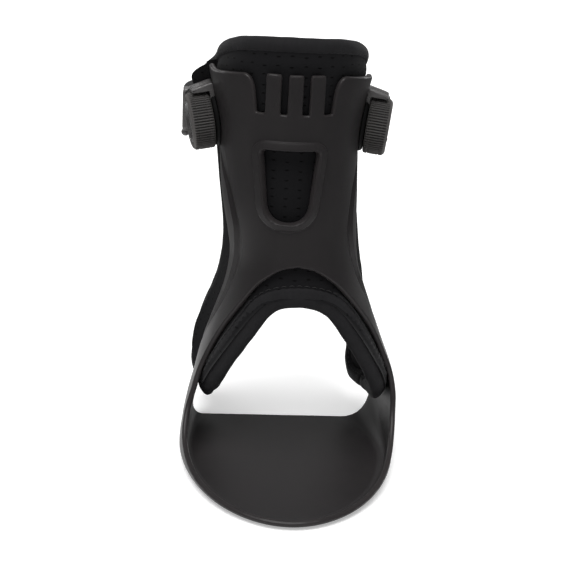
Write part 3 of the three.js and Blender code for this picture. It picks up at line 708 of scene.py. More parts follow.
# Woven webbing: warp ribs along the strap, broken by the weft.
webbingLook = {
    "dark": (0.003, 0.003, 0.0033, 1),
    "light": (0.015, 0.0145, 0.0155, 1),
    "shine": 0.25,
    "rough": 0.75,
    "warp": 1.15,
    "weft": 1.9,
    "clouds": 60.0,
    "fuzz": 2600.0,
    "relief": 0.0003,
}


def webbing():
    look = webbingLook
    sheet = Sheet("webbing", IOR=1.4, Specular_IOR_Level=look["shine"], Sheen_Weight=0.15)
    u, v = sheet.layer("u"), sheet.layer("v")
    warp = (v * (2 * math.pi / look["warp"])).through("SINE")
    weft = (u * (2 * math.pi / look["weft"])).through("SINE")
    weave = warp * weft * 0.5 + 0.5
    fuzz = sheet.noise(sheet.spot(), look["fuzz"], 3.0, 0.7)
    cloud = sheet.noise(sheet.spot(), look["clouds"], 3.0)
    colour = sheet.tint(weave * 0.5 + fuzz * 0.25 + cloud * 0.25, look["dark"], look["light"])
    relief = sheet.bump(weave + fuzz * 0.4, 0.7, look["relief"])
    return sheet.feel(Base_Color=colour, Roughness=look["rough"] + fuzz * 0.15, Normal=relief)


# A braided lace's two crossing sets of strands.
braidLook = {
    "dark": (0.004, 0.004, 0.0042, 1),
    "light": (0.022, 0.0215, 0.022, 1),
    "shine": 0.4,
    "rough": 0.5,
    "along": 4.0,
    "around": 3.0,
    "relief": 0.0001,
}


def braid():
    look = braidLook
    sheet = Sheet("braid", IOR=1.45, Specular_IOR_Level=look["shine"])
    u, v = sheet.layer("u"), sheet.layer("v")
    ways = [(u * look["along"] + v * (sign * look["around"])).through("SINE") for sign in (1, -1)]
    weave = ways[0] * ways[1] * 0.5 + 0.5
    colour = sheet.tint(weave, look["dark"], look["light"])
    relief = sheet.bump(weave, 0.6, look["relief"])
    return sheet.feel(Base_Color=colour, Roughness=look["rough"] + weave * 0.1, Normal=relief)


# The stitches' thread.
threadLook = {"dark": (0.005, 0.005, 0.0054, 1), "light": (0.014, 0.0135, 0.0145, 1), "twist": 1800.0}


def thread():
    sheet = Sheet("thread", IOR=1.45, Specular_IOR_Level=0.4)
    twist = sheet.noise(sheet.spot(), threadLook["twist"], 2.0)
    colour = sheet.tint(twist, threadLook["dark"], threadLook["light"])
    relief = sheet.bump(twist, 0.4, 0.0001)
    return sheet.feel(Base_Color=colour, Roughness=0.55 + twist * 0.15, Normal=relief)


# The shell.
def makeShell():
    size = shellSet
    dense = np.linspace(-90, 90, 721)
    reach = np.zeros(len(dense))
    for z in (size["arch"] * 0.3, size["height"] * 0.75):
        steps = np.linalg.norm(np.diff(wallPoint(dense, z, 1.5), axis=0), axis=1)
        reach[1:] += np.cumsum(steps) / steps.sum() / 2
    angles = np.interp(np.linspace(0, 1, size["columns"]), reach, dense)
    back = 90 + np.linspace(1.25, size["straightBack"], 8)
    angles = np.concatenate([-back[::-1], angles, back])
    half = size["wall"] / 2

    radius = filletRadius(angles)
    foot = wallPoint(angles, half + 1e-6, half)
    pole = np.array([sectionAt(np.zeros(1))["aside"][0], size["shoulder"], half])
    rows = [mix(pole, foot, share) for share in np.linspace(0, 1, size["floorRows"])[:-1]]
    levels = [np.full(len(angles), half)] * len(rows)
    for turn in np.linspace(0, math.pi / 2, size["filletRows"])[:-1]:
        z = half + (radius - half) * (1 - math.cos(turn)) + 1e-6
        rows.append(wallPoint(angles, z, half))
        levels.append(z)
    for share in np.linspace(0, 1, size["wallRows"]):
        z = mix(radius, size["height"] + size["spareHeight"], share)
        rows.append(wallPoint(angles, z, half))
        levels.append(z)
    points = np.array(rows)
    ways = np.cross(np.gradient(points, axis=1), np.gradient(points, axis=0))
    points = points.reshape(-1, 3)
    ways = unit(ways.reshape(-1, 3))
    flat = np.stack([np.broadcast_to(angles, (len(rows), len(angles))).ravel(), np.array(levels).ravel()], 1)

    rise = [column(crownRows, side, np.abs(flat[:, 0]), "angle") for side in ("left", "right")]
    edge = size["height"] + np.where(flat[:, 0] < 0, *rise) - points[:, 2]
    slope = rearEdge(points[:, 2] + 0.5) - rearEdge(points[:, 2] - 0.5)
    edge = np.minimum(edge, (rearEdge(points[:, 2]) - points[:, 1]) / np.sqrt(1 + slope**2))
    loop = openingOutline()
    edge = np.minimum(edge, toOutline(points, wallPoint(loop[:, 0], loop[:, 1], half), flat, loop))
    front = points[:, 1] < -size["shinReach"] / 4
    view = points[front][:, [0, 2]]
    for outline in crownOutlines():
        edge[front] = np.minimum(edge[front], toOutline(view, outline))
    window = np.full(len(points), 99.0)
    window[front] = toOutline(view, windowOutline())
    edge = np.minimum(edge, window)

    share = flat[:, 1] / size["height"]
    crease, lip = (np.abs(flat[:, 0]) - column(fluteRows, key, share) for key in ("angle", "lip"))
    faces = gridFaces(len(rows), len(angles))
    net = Net(faces, point=points, way=ways, edge=edge, window=window, crease=crease, lip=lip)
    net.split("edge", 0.0)
    net.trim("edge")
    for level in (0.1, 0.35, size["rim"]):
        net.split("edge", level)
    for level in (0, -windowSet["bevel"] * 0.4, -windowSet["bevel"]):
        net.split("window", windowSet["band"] + level)
    for level in (-0.5, 0, 0.5):
        net.split("crease", level)
    for level in (-size["lipRamp"], 0, 0.5):
        net.split("lip", level)
    print("shell net", len(net.faces), "faces")

    values = net.values
    point, way, edge = values["point"], unit(values["way"]), values["edge"]
    crest = windowSet["band"] - windowSet["bevel"]
    band = smooth(windowSet["band"], crest, values["window"])
    outward = np.clip((values["window"] - size["rim"]) / (crest - size["rim"]), 0, 1)
    out = half + windowSet["rise"] * band * mix(1.0, windowSet["lean"], outward)
    out -= relief(values["crease"], values["lip"], point[:, 2])
    bend = np.sqrt(np.maximum(1 - (1 - np.clip(edge / size["rim"], 0, 1)) ** 2, 0))
    outer = point + way * (out * bend)[:, None]
    inner = point - way * (half * bend)[:, None]
    onRim = edge < 1e-6
    under = np.arange(len(point)) + len(point)
    under[onRim] = np.arange(len(point))[onRim]
    under = under.tolist()
    faces = [face[::-1] for face in net.faces] + [[under[i] for i in face] for face in net.faces]
    piece = makeMesh("brace_shell", place(np.vstack([outer, inner])), faces, mouldedPlastic(),
                     {"edge": np.concatenate([edge, edge])})
    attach(piece, "root")
    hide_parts("shell")
    return piece


makeShell()
print("shell made")


# The liner: sizes, and rows from the front's middle to the end of one leg. Angles are in degrees, heights
# shares of its top, the flares of the two sides shares of flare.
padSet = {
    "clearance": 0.8,
    "thick": 6.0,
    "top": 216.5,
    "flare": 8.0,
    "flareStart": 2.0,
    "freeFrom": 0.994,
    "cornerPull": 0.03,
    "flareSpan": 14.0,
    "pinch": 1.5,
    "pinchWidth": 6.5,
    "tucked": 2.4,
    "wrinkle": 0.35,
    "waves": (19.0, 34.0, 11.0),
    "holesBehind": 20.0,
    "holesPerDegree": 0.8,
    "alongSteps": 150,
    "acrossSteps": 64,
}
padRows = table(
    "share inAngle inHeight outAngle outHeight left right",
    (0.0, 0, 0.447, 0, 1.0, 1.0, 1.0),
    (0.11, 9, 0.442, 20, 0.998, 1.0, 1.0),
    (0.22, 17, 0.43, 42, 0.99, 1.0, 1.0),
    (0.32, 25, 0.402, 65, 0.968, 3.0, 1.0),
    (0.42, 33, 0.349, 87, 0.938, 4.2, 1.0),
    (0.51, 39, 0.298, 101, 0.876, 3.6, 0.8),
    (0.6, 44, 0.255, 104, 0.76, 1.6, 0.5),
    (0.7, 48, 0.22, 102, 0.63, 0.95, 0.9),
    (0.79, 53, 0.189, 104, 0.49, 1.0, 1.0),
    (0.87, 60, 0.164, 110, 0.36, 1.0, 0.55),
    (0.94, 69, 0.149, 112, 0.228, 1.6, -0.2),
    (1.0, 80, 0.14, 108, 0.118, 2.2, -0.7),
)


# Where the liner comes free of the shell, at the shell's rear edge.
def freeEdge(z):
    return rearEdge(np.minimum(z, shellSet["height"] * padSet["freeFrom"]))


# Points of the liner: along runs from one leg's end (-1) over the front (0) to the other's, across from the
# inner edge (0) to the outer (1).
def padPoint(along, across, inset):
    along, across, inset = np.broadcast_arrays(*(np.asarray(v, float) for v in (along, across, inset)))
    side = np.where(along < 0, -1, 1)
    at = {key: column(padRows, key, np.abs(along), "share") for key in padRows if key != "share"}
    angle = side * mix(at["inAngle"], at["outAngle"], across)
    height = padSet["top"] * mix(at["inHeight"], at["outHeight"], across)
    flare = padSet["flare"] * np.where(side < 0, at["left"], at["right"])

    def spread(angle, y, z):
        return flare * np.clip((y - freeEdge(z) - padSet["flareStart"]) / padSet["flareSpan"], 0, 1)

    return wallPoint(angle, height, shellSet["wall"] + padSet["clearance"] + inset, spread)


def hump(at, middle, width):
    return np.exp(-(((at - middle) / width) ** 2))


# Slow waves over a surface, for cloth that doesn't lie quite flat.
def waves(u, v, sizes, seed):
    draw = np.random.default_rng(seed)
    total = np.zeros(np.shape(u))
    for size in sizes:
        for _ in range(4):
            turn, shift = draw.uniform(0, 2 * math.pi, 2)
            total += np.sin((u * math.cos(turn) + v * math.sin(turn)) * 2 * math.pi / size + shift)
    return total / (4 * len(sizes))


def lengthsAlong(points, axis):
    steps = np.linalg.norm(np.diff(points, axis=axis), axis=-1)
    total = np.cumsum(steps, axis)
    pad = [(0, 0), (0, 0)]
    pad[axis] = (1, 0)
    return np.pad(total, pad)


def makePad():
    along = np.linspace(-1, 1, padSet["alongSteps"] * 2 + 1)[:, None]
    across = np.linspace(0, 1, padSet["acrossSteps"] + 1)[None, :]
    along = along * (1 - padSet["cornerPull"] * (across * 2 - 1) ** 8)  # rounds the legs' corners
    reach = lengthsAlong(padPoint(along, across, padSet["thick"] / 2), 1)[:, -1:]
    across = across + (across * 2 - 1) * padSet["tucked"] / reach  # its edges reach into the rolled edges
    middle = padPoint(along, across, padSet["thick"] / 2)
    down = lengthsAlong(middle, 1)
    fromEdge = np.minimum(down, down[:, -1:] - down)
    ends = lengthsAlong(middle, 0)
    fromEdge = np.minimum(fromEdge, np.minimum(ends, ends[-1:] - ends) + 1.5)
    x, ahead = middle[..., 0], shellSet["shoulder"] + padSet["holesBehind"] - middle[..., 1]
    u = np.degrees(np.arctan2(x, ahead)) * padSet["holesPerDegree"]
    v = middle[..., 2]
    pinch = padSet["pinch"] * (1 - smooth(0, padSet["pinchWidth"], fromEdge))
    lie = padSet["wrinkle"] * waves(u, v, padSet["waves"], 3) * smooth(1, 9, fromEdge)
    free = smooth(-2, 8, middle[..., 1] - freeEdge(v))
    outer = padPoint(along, across, pinch + np.maximum(lie, -0.3) - free * lie)
    inner = padPoint(along, across, padSet["thick"] - pinch * 1.3 + lie * 1.4)
    rows, columns = middle.shape[:2]
    count = rows * columns
    faces = gridFaces(rows, columns)
    border = [r * columns for r in range(rows)]
    border += [(rows - 1) * columns + c for c in range(1, columns)]
    border += [r * columns + columns - 1 for r in range(rows - 2, -1, -1)]
    border += list(range(columns - 2, 0, -1))
    sides = [[b, a, a + count, b + count] for a, b in zip(border, border[1:] + border[:1])]
    faces = faces + [[i + count for i in face[::-1]] for face in faces] + sides
    points = np.vstack([outer.reshape(-1, 3), inner.reshape(-1, 3)])
    layers = {"u": np.tile(u.ravel(), 2), "v": np.tile(v.ravel(), 2)}
    piece = makeMesh("liner_pad", place(points), faces, perforatedKnit(), layers)
    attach(piece, "root")
    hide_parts("liner")
    return piece


makePad()
print("liner pad made")


# The rolled edges.
edgeSet = {
    "radius": 4.2,
    "gap": 0.3,
    "steps": 460,
    "sides": 28,
    "softening": 50,
    "ridge": 0.35,
    "groove": 0.5,
    "ridgeAt": 0.95,  # radians from the side that faces the pad
    "grooveAt": 0.6,
    "seamAt": 0.62,
    "seamWidth": 0.16,
    "puckerWidth": 0.4,
    "stitch": 2.4,
    "stitchPitch": 3.3,
    "stitchRadius": 0.28,
    "pucker": 0.22,
    "bands": {"top_roll": 1.0, "lower_roll": 1.7},
    "bandStart": 8.0,
    "bandSpan": 14.0,
    "settled": 0.12,
    "lumpSizes": (23.0, 9.0),
    "lumpTurn": 4.0,
    "lumps": 0.2,
    "endLumps": 0.7,
    "endSpan": 90.0,
}


# A rolled edge's middle line and the two directions across it, out from the pad and across its thickness.
# The line follows the pad's border through rows of along and across, with its corners rounded.
def rollPath(rows):
    radius = edgeSet["radius"]
    spots = np.vstack([np.linspace(a, b, 200)[:-1] for a, b in zip(rows, rows[1:])] + [rows[-1:]])
    border = padPoint(spots[:, 0], spots[:, 1], radius)
    depth = unit(padPoint(spots[:, 0], spots[:, 1], 0) - padPoint(spots[:, 0], spots[:, 1], radius * 2))
    travel = np.concatenate([[0], np.cumsum(np.linalg.norm(np.diff(border, axis=0), axis=1))])
    at = np.linspace(0, travel[-1], edgeSet["steps"] + 1)
    border, depth = (np.stack([np.interp(at, travel, v[:, k]) for k in range(3)], 1) for v in (border, depth))
    for _ in range(edgeSet["softening"]):
        border[1:-1] = (border[:-2] + 2 * border[1:-1] + border[2:]) / 4
        depth[1:-1] = (depth[:-2] + 2 * depth[1:-1] + depth[2:]) / 4
    run = unit(np.gradient(border, axis=0))
    out = unit(np.cross(run, depth))
    return border + out * (radius + edgeSet["gap"]), out, np.cross(run, out)


def makeRoll(name, node, rows):
    middle, out, side = rollPath(np.array(rows, float))
    length = np.linalg.norm(np.diff(middle, axis=0), axis=1).sum()
    at = np.linspace(0, length, len(middle))
    inside = np.minimum(at, length - at) - edgeSet["bandStart"]
    wide = mix(1.0, edgeSet["bands"][name], smooth(0, edgeSet["bandSpan"], inside))
    middle = middle - out * (edgeSet["radius"] * (wide - 1))[:, None]
    out = out * wide[:, None]
    travel = np.concatenate([[0], np.cumsum(np.linalg.norm(np.diff(middle, axis=0), axis=1))])
    turn = np.linspace(0, 2 * math.pi, edgeSet["sides"] + 1)[:-1]
    s, t = np.meshgrid(travel, turn, indexing="ij")
    fromPad = np.abs(math.pi - t)  # angle from the side that faces the pad
    radius = np.full(s.shape, edgeSet["radius"])
    radius += edgeSet["ridge"] * hump(fromPad, edgeSet["ridgeAt"], edgeSet["seamWidth"])
    radius -= edgeSet["groove"] * hump(fromPad, edgeSet["grooveAt"], edgeSet["seamWidth"])
    pull = 0.5 + 0.5 * np.cos(2 * math.pi * s / edgeSet["stitchPitch"])
    radius -= edgeSet["pucker"] * pull * hump(fromPad, edgeSet["ridgeAt"], edgeSet["puckerWidth"])
    ends = np.minimum(travel, travel[-1] - travel)[:, None]
    lumps = mix(edgeSet["endLumps"], edgeSet["lumps"], smooth(0, edgeSet["endSpan"], ends))
    radius += lumps * waves(s, t * edgeSet["lumpTurn"], edgeSet["lumpSizes"], 11) - edgeSet["settled"]
    radius *= np.sqrt(np.clip(1 - (1 - np.clip(ends / edgeSet["radius"], 0, 1)) ** 2, 0.02, 1))
    points = middle[:, None] + radius[..., None] * (
        out[:, None] * np.cos(t)[..., None] + side[:, None] * np.sin(t)[..., None]
    )
    rows, columns = s.shape
    faces = tubeFaces(rows, columns)
    layers = {"u": s.ravel(), "v": (t * edgeSet["radius"]).ravel()}
    piece = makeMesh(name, place(points.reshape(-1, 3)), faces, cloths["edge"], layers)
    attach(piece, "root")
    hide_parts(node)
    makeStitches(name + "_stitches", middle, out, side, travel, piece)
    return piece


# Rows of stitches where a rolled edge is sewn to the pad, on both of its faces.
def makeStitches(name, middle, out, side, travel, onto):
    turn = math.pi - edgeSet["seamAt"]
    radius = edgeSet["radius"] - edgeSet["settled"]
    starts = np.arange(edgeSet["radius"], travel[-1] - edgeSet["radius"], edgeSet["stitchPitch"])
    t = np.linspace(0, 1, 6)
    points, faces = [], []
    for sign in (-1, 1):
        lift = out * math.cos(turn) + side * sign * math.sin(turn)
        line = middle + radius * lift
        for start in starts:
            at = start + t * edgeSet["stitch"]
            path = np.stack([np.interp(at, travel, line[:, k]) for k in range(3)], 1)
            rise = np.stack([np.interp(at, travel, lift[:, k]) for k in range(3)], 1)
            path = path + rise * (0.3 * np.sin(math.pi * t) - 0.1)[:, None]
            tube, sides = tubeOf(path, edgeSet["stitchRadius"] * np.sin(math.pi * (0.16 + 0.68 * t)), 6)
            faces += [[i + len(points) * len(tube) for i in face] for face in sides]
            points.append(tube)
    piece = makeMesh(name, place(np.vstack(points)), faces, cloths["thread"])
    piece.parent = onto
    return piece


# A closed round tube along a path.
def tubeOf(path, radius, sides):
    run = unit(np.gradient(path, axis=0))
    ref = np.array([0.31, 0.17, 0.93])
    a = unit(np.cross(run, ref))
    b = np.cross(run, a)
    turn = np.linspace(0, 2 * math.pi, sides + 1)[:-1]
    radius = np.broadcast_to(radius, len(path))[:, None, None]
    ring = a[:, None] * np.cos(turn)[None, :, None] + b[:, None] * np.sin(turn)[None, :, None]
    points = (path[:, None] + radius * ring).reshape(-1, 3)
    return points, tubeFaces(len(path), sides)


cloths = {"edge": stretchCloth(), "thread": thread()}
makeRoll("top_roll", "top_binding", [(1, 0.42), (1, 1), (0, 1), (-1, 1), (-1, 0.42)])
makeRoll("lower_roll", "lower_binding", [(-1, 0.5), (-1, 0), (0, 0), (1, 0), (1, 0.5)])
print("rolled edges made")


# The dials.
dialSet = {
    "drop": 30.0,
    "angle": 84.0,
    "toe": 8.0,
    "baseRadius": 14.5,
    "baseHeight": 3.2,
    "radius": 15.0,
    "depth": 12.2,
    "band": 10.6,
    "ribs": 64,
    "ribDepth": 0.6,
    "ribFlat": 1.6,
    "ribSteps": 8,
    # How light the smooth bevel is painted, as a painted highlight, against 0 in the rib grooves and 1 on the
    # crests.
    "bevelHighlight": 1.7,
    "capRadius": 11.0,
    "gap": 0.3,
    "dish": 2.2,
    "outletReach": 9.0,
    "outletWidth": 13.0,
    "outletRise": 3.9,
    "outletNose": 1.5,
    "outletGap": 0.8,
    "slotWidth": 1.7,
    "slotPitch": 3.4,
    "slotDepth": 1.25,
}


# A dial's place: its own z out of the wall, y up along it.
def dialSeat(side):
    angle, height = side * dialSet["angle"], shellSet["height"] - dialSet["drop"]
    at = wallPoint(angle, height, 0.0)
    around = wallPoint(angle + side, height, 0.0) - at
    up = unit(wallPoint(angle, height + 1, 0.0) - at)
    out = Vector(unit(np.cross(around, up) * side))
    out.rotate(Matrix.Rotation(-side * math.radians(dialSet["toe"]), 3, "Z"))
    across = Vector(up).cross(out).normalized()
    return Matrix.Translation(at) @ Matrix((across, out.cross(across), out)).transposed().to_4x4()


def seated(points, seat):
    turn = np.array(seat.to_3x3())
    return np.asarray(points, float) @ turn.T + np.array(seat.translation)


# Moves points straight down a dial's own z until they meet the shell's outside.
def ontoShell(points, seat, gap=0.12):
    low, high = np.full(len(points), -16.0), np.full(len(points), dialSet["baseHeight"])
    for _ in range(30):
        z = (low + high) / 2
        at = seated(np.column_stack([points[:, :2], z]), seat)
        s = sectionAt(at[:, 2])
        outside = np.abs(at[:, 0] - s["aside"]) - halfAt(s, at[:, 1], 0) > gap
        high = np.where(outside, z, high)
        low = np.where(outside, low, z)
    return np.column_stack([points[:, :2], high])


# A turned surface from rows of radius and height, closed where a row's radius is zero.
def turned(profile, count, ripple=None):
    turn = np.linspace(0, 2 * math.pi, count + 1)[:-1]
    rings = []
    for k, (radius, height) in enumerate(profile):
        grown = radius + (ripple(turn, k) if ripple else 0)
        rings.append(np.stack([grown * np.cos(turn), grown * np.sin(turn), np.full(count, height)], 1))
    return np.array(rings)


def ringMesh(name, rings, material, seat, ends=(True, True), layers=None):
    faces = tubeFaces(len(rings), rings.shape[1], ends)
    return makeMesh(name, place(seated(rings.reshape(-1, 3), seat)), faces, material, layers)


# The knob: fine ribs round its rim, a groove round them, and a smooth bevel in front.
def makeKnob(name, side, seat):
    low = dialSet["baseHeight"] + dialSet["gap"]
    top = low + dialSet["band"]
    face = dialSet["baseHeight"] + dialSet["depth"]
    bore = dialSet["capRadius"] + dialSet["gap"]
    r = dialSet["radius"]
    rows = [  # radius, height, how much of the ribs shows
        (bore, low, 0), (r - 1.3, low, 0), (r - 0.5, low + 0.25, 0.4), (r, low + 0.8, 1),
        (r, low + 2.3, 1), (r - 0.32, low + 2.5, 0.8), (r - 0.32, low + 2.8, 0.8), (r, low + 3.0, 1),
        (r, top - 2.6, 1), (r - 0.32, top - 2.4, 0.8), (r - 0.32, top - 2.1, 0.8), (r, top - 1.9, 1),
        (r, top - 0.5, 1), (r - 0.25, top, 0.8), (r - 0.6, top + 0.25, 0), (r - 0.7, top + 0.5, 0),
        (r - 1.0, top + 0.75, 0), (r - 1.5, face - 0.25, 0), (r - 2.1, face - 0.05, 0), (bore + 0.5, face, 0),
        (bore + 0.15, face - 0.1, 0), (bore, face - 0.4, 0), (bore, low, 0),
    ]
    shown = [row[2] for row in rows]
    count = dialSet["ribs"] * dialSet["ribSteps"]

    # From 0 in the grooves to 1 on the ribs.
    def rib(turn):
        return 0.5 + 0.5 * np.clip(np.cos(turn * dialSet["ribs"]) * dialSet["ribFlat"], -1, 1)

    def ripple(turn, k):
        return shown[k] * dialSet["ribDepth"] * (rib(turn) - 1)

    rings = turned([row[:2] for row in rows], count, ripple)
    turn = np.linspace(0, 2 * math.pi, count + 1)[:-1]
    # Painted light for the colour: painted shade in the grooves, painted highlight on the crests, and a
    # brighter painted highlight on the smooth bevel.
    paintedLight = np.array([mix(dialSet["bevelHighlight"], rib(turn), share) for share in shown])
    piece = ringMesh(name, rings, finishes["rubber"], seat, (False, False), {"edge": paintedLight.ravel()})
    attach(piece, "knob_" + side)
    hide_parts("dial_knob_" + side)


# The dial's face: a round rim, a groove, and a dish with a low hub.
def makeCap(name, side, seat):
    face = dialSet["baseHeight"] + dialSet["depth"]
    r, dish = dialSet["capRadius"], dialSet["dish"]
    rows = [
        (r, face - dish - 2), (r, face - 0.5), (r - 0.15, face - 0.15), (r - 0.5, face),
        (r - 1.1, face - 0.02), (r - 1.4, face - 0.2), (r - 1.6, face - 1.1), (r - 1.9, face - 1.5),
        (r - 2.6, face - 1.55), (r - 2.9, face - 1.3), (r - 3.2, face - 1.15), (r - 4.4, face - 1.35),
        (r * 0.4, face - dish * 0.86), (r * 0.2, face - dish * 0.96), (0.02, face - dish),
    ]
    piece = ringMesh(name, turned(rows, 96), finishes["face"], seat)
    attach(piece, "cap_" + side)
    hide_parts("dial_cap_" + side)


# The housing: a round base seated on the shell, and above the knob a block with two slots for the laces.
def makeHousing(name, side, seat):
    size = dialSet
    r, top = size["baseRadius"], size["baseHeight"]
    rows = [(r, 0.0), (r - 0.1, 0.9), (r - 0.4, top - 0.9), (r - 0.7, top - 0.3), (r - 1.3, top)]
    rings = turned(rows + [(4.2, top), (3.8, top - 0.4), (3.8, top - 1.8), (0.02, top - 1.8)], 96)
    rings[0] = ontoShell(rings[0], seat)
    rings[1, :, 2] = mix(rings[0, :, 2], top - 0.9, 0.5)
    base = ringMesh(name, rings, finishes["base"], seat)

    inner = size["radius"] + size["outletGap"]
    outer = inner + size["outletRise"]
    nose = inner + size["outletNose"]
    face = top + size["outletReach"]
    half = size["outletWidth"] / 2
    slot, pitch = size["slotWidth"] / 2, size["slotPitch"] / 2
    # From the block's side to its middle: how far out, and how far its sloping top is cut down there.
    deep, lead = size["slotDepth"], 0.12
    comb = [
        (half, 0.7), (half - 0.25, 0.2), (half - 0.7, 0), (pitch + slot, 0),
        (pitch + slot - lead, deep), (pitch - slot + lead, deep), (pitch - slot, 0),
    ]
    rings = []
    for x, cut in [(-x, cut) for x, cut in comb] + comb[::-1]:
        drawn = 0.5 if abs(x) == half else 0
        slopeMiddle = mix(outer, nose, 0.5) - drawn - cut
        rings.append([
            (x, r * 0.6, -1), (x, outer - drawn, -1), (x, outer - drawn, top * 0.6),
            (x, outer - 0.35 - drawn - cut * 0.2, top + 0.6), (x, slopeMiddle, mix(top, face, 0.55)),
            (x, nose + 0.35 - drawn - cut, face - 0.5), (x, nose - 0.2 - cut * 0.4, face - drawn - cut * 0.5),
            (x, inner + 0.25, face - drawn - cut * 0.3), (x, inner, face - 0.4 - drawn),
            (x, inner, top + 0.02), (x, r * 0.6, top + 0.02),
        ])
    rings = np.array(rings, float)
    for corner in (0, 1):
        rings[:, corner] = ontoShell(rings[:, corner], seat)
    block = ringMesh(name + "_outlet", rings[::-1], finishes["gloss"], seat)
    block.parent = base
    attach(base, "root")
    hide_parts("dial_base_" + side)
    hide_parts("lace_outlet_" + side)


finishes = {
    # Lighter grey than the black plastic: painted reflection of the bright studio on the lace housings and
    # the strap's ends.
    "gloss": glossPlastic("housing_plastic_painted_reflection", (0.05, 0.0475, 0.0475, 1), (0.115, 0.11, 0.11, 1), 0.24, 0.55),
    # Darker and duller than the other black plastics: painted shade under the knob's overhang.
    "base": glossPlastic("base_plastic_painted_shade", (0.003, 0.003, 0.0031, 1), (0.007, 0.0068, 0.007, 1), 0.6, 0.08),
    "rubber": ribbedRubber(),
    # Lighter grey than the black plastic: painted reflection of the bright studio on the dial faces.
    "face": glossPlastic("dial_face_plastic_painted_reflection", (0.03, 0.029, 0.029, 1), (0.075, 0.072, 0.071, 1), 0.2, 0.5),
}
seats = {"left": dialSeat(-1), "right": dialSeat(1)}
for side, seat in seats.items():
    makeHousing("housing_" + side, side, seat)
    makeKnob("knob_ring_" + side, side, seat)
    makeCap("knob_face_" + side, side, seat)
print("dials made")


# The strap round the back, its moulded ends, and the laces that pull it.
strapSet = {
    "width": 22.0,
    "thick": 3.6,
    "halfSpan": 54.5,
    "aside": -4.5,
    "behind": 72.0,
    "start": 27.0,
    "round": 0.75,
    "steps": 240,
    "selvedge": 1.0,
    "welt": 0.16,
    "sag": 0.25,
    "guideLength": 9.0,
    "guideBrim": 0.5,
    "guideCorner": 1.2,
    "bead": 2.3,
    "beadSides": 24,
    "beadRows": 15,
    "gap": 0.3,
    "lace": 0.5,
    "laceSteps": 28,
    "laceSides": 14,
}
laceRows = table("down out up", (1.5, 4.0, 0.42), (3.5, 6.0, 0.27))


def strapLine(turn):
    middle = shellSet["height"] - dialSet["drop"]
    bow = [np.sign(v) * np.abs(v) ** strapSet["round"] for v in (np.sin(turn), np.cos(turn))]
    return np.stack([
        strapSet["aside"] + strapSet["halfSpan"] * bow[0],
        strapSet["start"] + (strapSet["behind"] - strapSet["start"]) * bow[1],
        np.full(np.shape(turn), middle),
    ], -1)


def makeStrap():
    dense = strapLine(np.linspace(-math.pi / 2, math.pi / 2, 4001))
    travel = np.concatenate([[0], np.cumsum(np.linalg.norm(np.diff(dense, axis=0), axis=1))])
    at = np.linspace(0, travel[-1], strapSet["steps"] + 1)
    path = np.stack([np.interp(at, travel, dense[:, k]) for k in range(3)], 1)
    run = unit(np.gradient(path, axis=0))
    out = np.cross(run, (0, 0, 1))
    half, t, selvedge = strapSet["width"] / 2, strapSet["thick"] / 2, strapSet["selvedge"]
    across = np.linspace(selvedge - half, half - selvedge, 25)
    side = bezier([(half - selvedge, t), (half, t * 0.9), (half, -t * 0.9), (half - selvedge, -t)], 6)[1:-1]
    front = np.stack([across, np.full(len(across), t)], 1)
    ring = np.vstack([front, side, front[::-1] * (1, -1), side[::-1] * (-1, 1)])
    welt = strapSet["welt"] * hump(np.abs(ring[:, 0]), half - 2.2, 0.8)
    thick = ring[:, 1] - np.sign(ring[:, 1]) * welt
    sag = strapSet["sag"] * waves(*np.meshgrid(at, ring[:, 0], indexing="ij"), (31.0, 57.0), 5)
    sag *= smooth(0, 12, np.minimum(at, at[-1] - at))[:, None]
    points = path[:, None] + out[:, None] * (thick + sag)[..., None]
    points[..., 2] += ring[:, 0]
    rows, columns = points.shape[:2]
    faces = tubeFaces(rows, columns)
    layers = {"u": np.repeat(at, columns), "v": np.tile(ring[:, 0], rows)}
    piece = makeMesh("strap_webbing", place(points.reshape(-1, 3)), faces, webbing(), layers)
    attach(piece, "root")
    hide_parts("rear_strap")


# A box with round edges and corners, as a subdivided grid pushed out round its inner box.
def roundBox(half, corner, count=5):
    points, faces = [], []
    grid = np.linspace(-1, 1, count * 2 + 1)
    for axis in range(3):
        for sign in (-1, 1):
            a, b = np.meshgrid(grid, grid, indexing="ij")
            cube = np.empty(a.shape + (3,))
            cube[..., axis] = sign
            cube[..., (axis + 1) % 3] = a
            cube[..., (axis + 2) % 3] = b
            core = np.array(half) - corner
            at = cube * half
            kept = np.clip(at, -core, core)
            away = at - kept
            away = unit(np.where(np.abs(away) < 1e-9, 0, away)) * corner
            first = len(points) * a.size
            side = gridFaces(len(grid), len(grid))
            faces += [[i + first for i in (face if sign > 0 else face[::-1])] for face in side]
            points.append((kept + away).reshape(-1, 3))
    return np.vstack(points), faces


def makeGuide(side, sign):
    middle = strapLine(np.array(sign * math.pi / 2))
    middle = middle - (0, strapSet["guideLength"] / 2 + strapSet["gap"], 0)
    height = strapSet["width"] + strapSet["guideBrim"] * 2
    half = np.array([strapSet["thick"], strapSet["guideLength"], height]) / 2
    points, faces = roundBox(half, strapSet["guideCorner"])
    ball, sides = strapSet["bead"], strapSet["beadSides"]
    drop = np.array([0, 0, -strapSet["width"] / 2 - ball * 0.8])
    turn = np.linspace(0, math.pi, strapSet["beadRows"])
    bead = turned([(max(ball * math.sin(t), 0.01), -ball * math.cos(t)) for t in turn], sides)
    beadFaces = gridFaces(len(turn), sides, loop=True)
    faces = faces + [[i + len(points) for i in face] for face in beadFaces]
    points = np.vstack([points, bead.reshape(-1, 3) + drop]) + middle
    piece = makeMesh("strap_end_" + side, place(points), faces, finishes["gloss"])
    joinClose(piece)
    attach(piece, "root")
    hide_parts("lace_guide_" + side)
    return middle


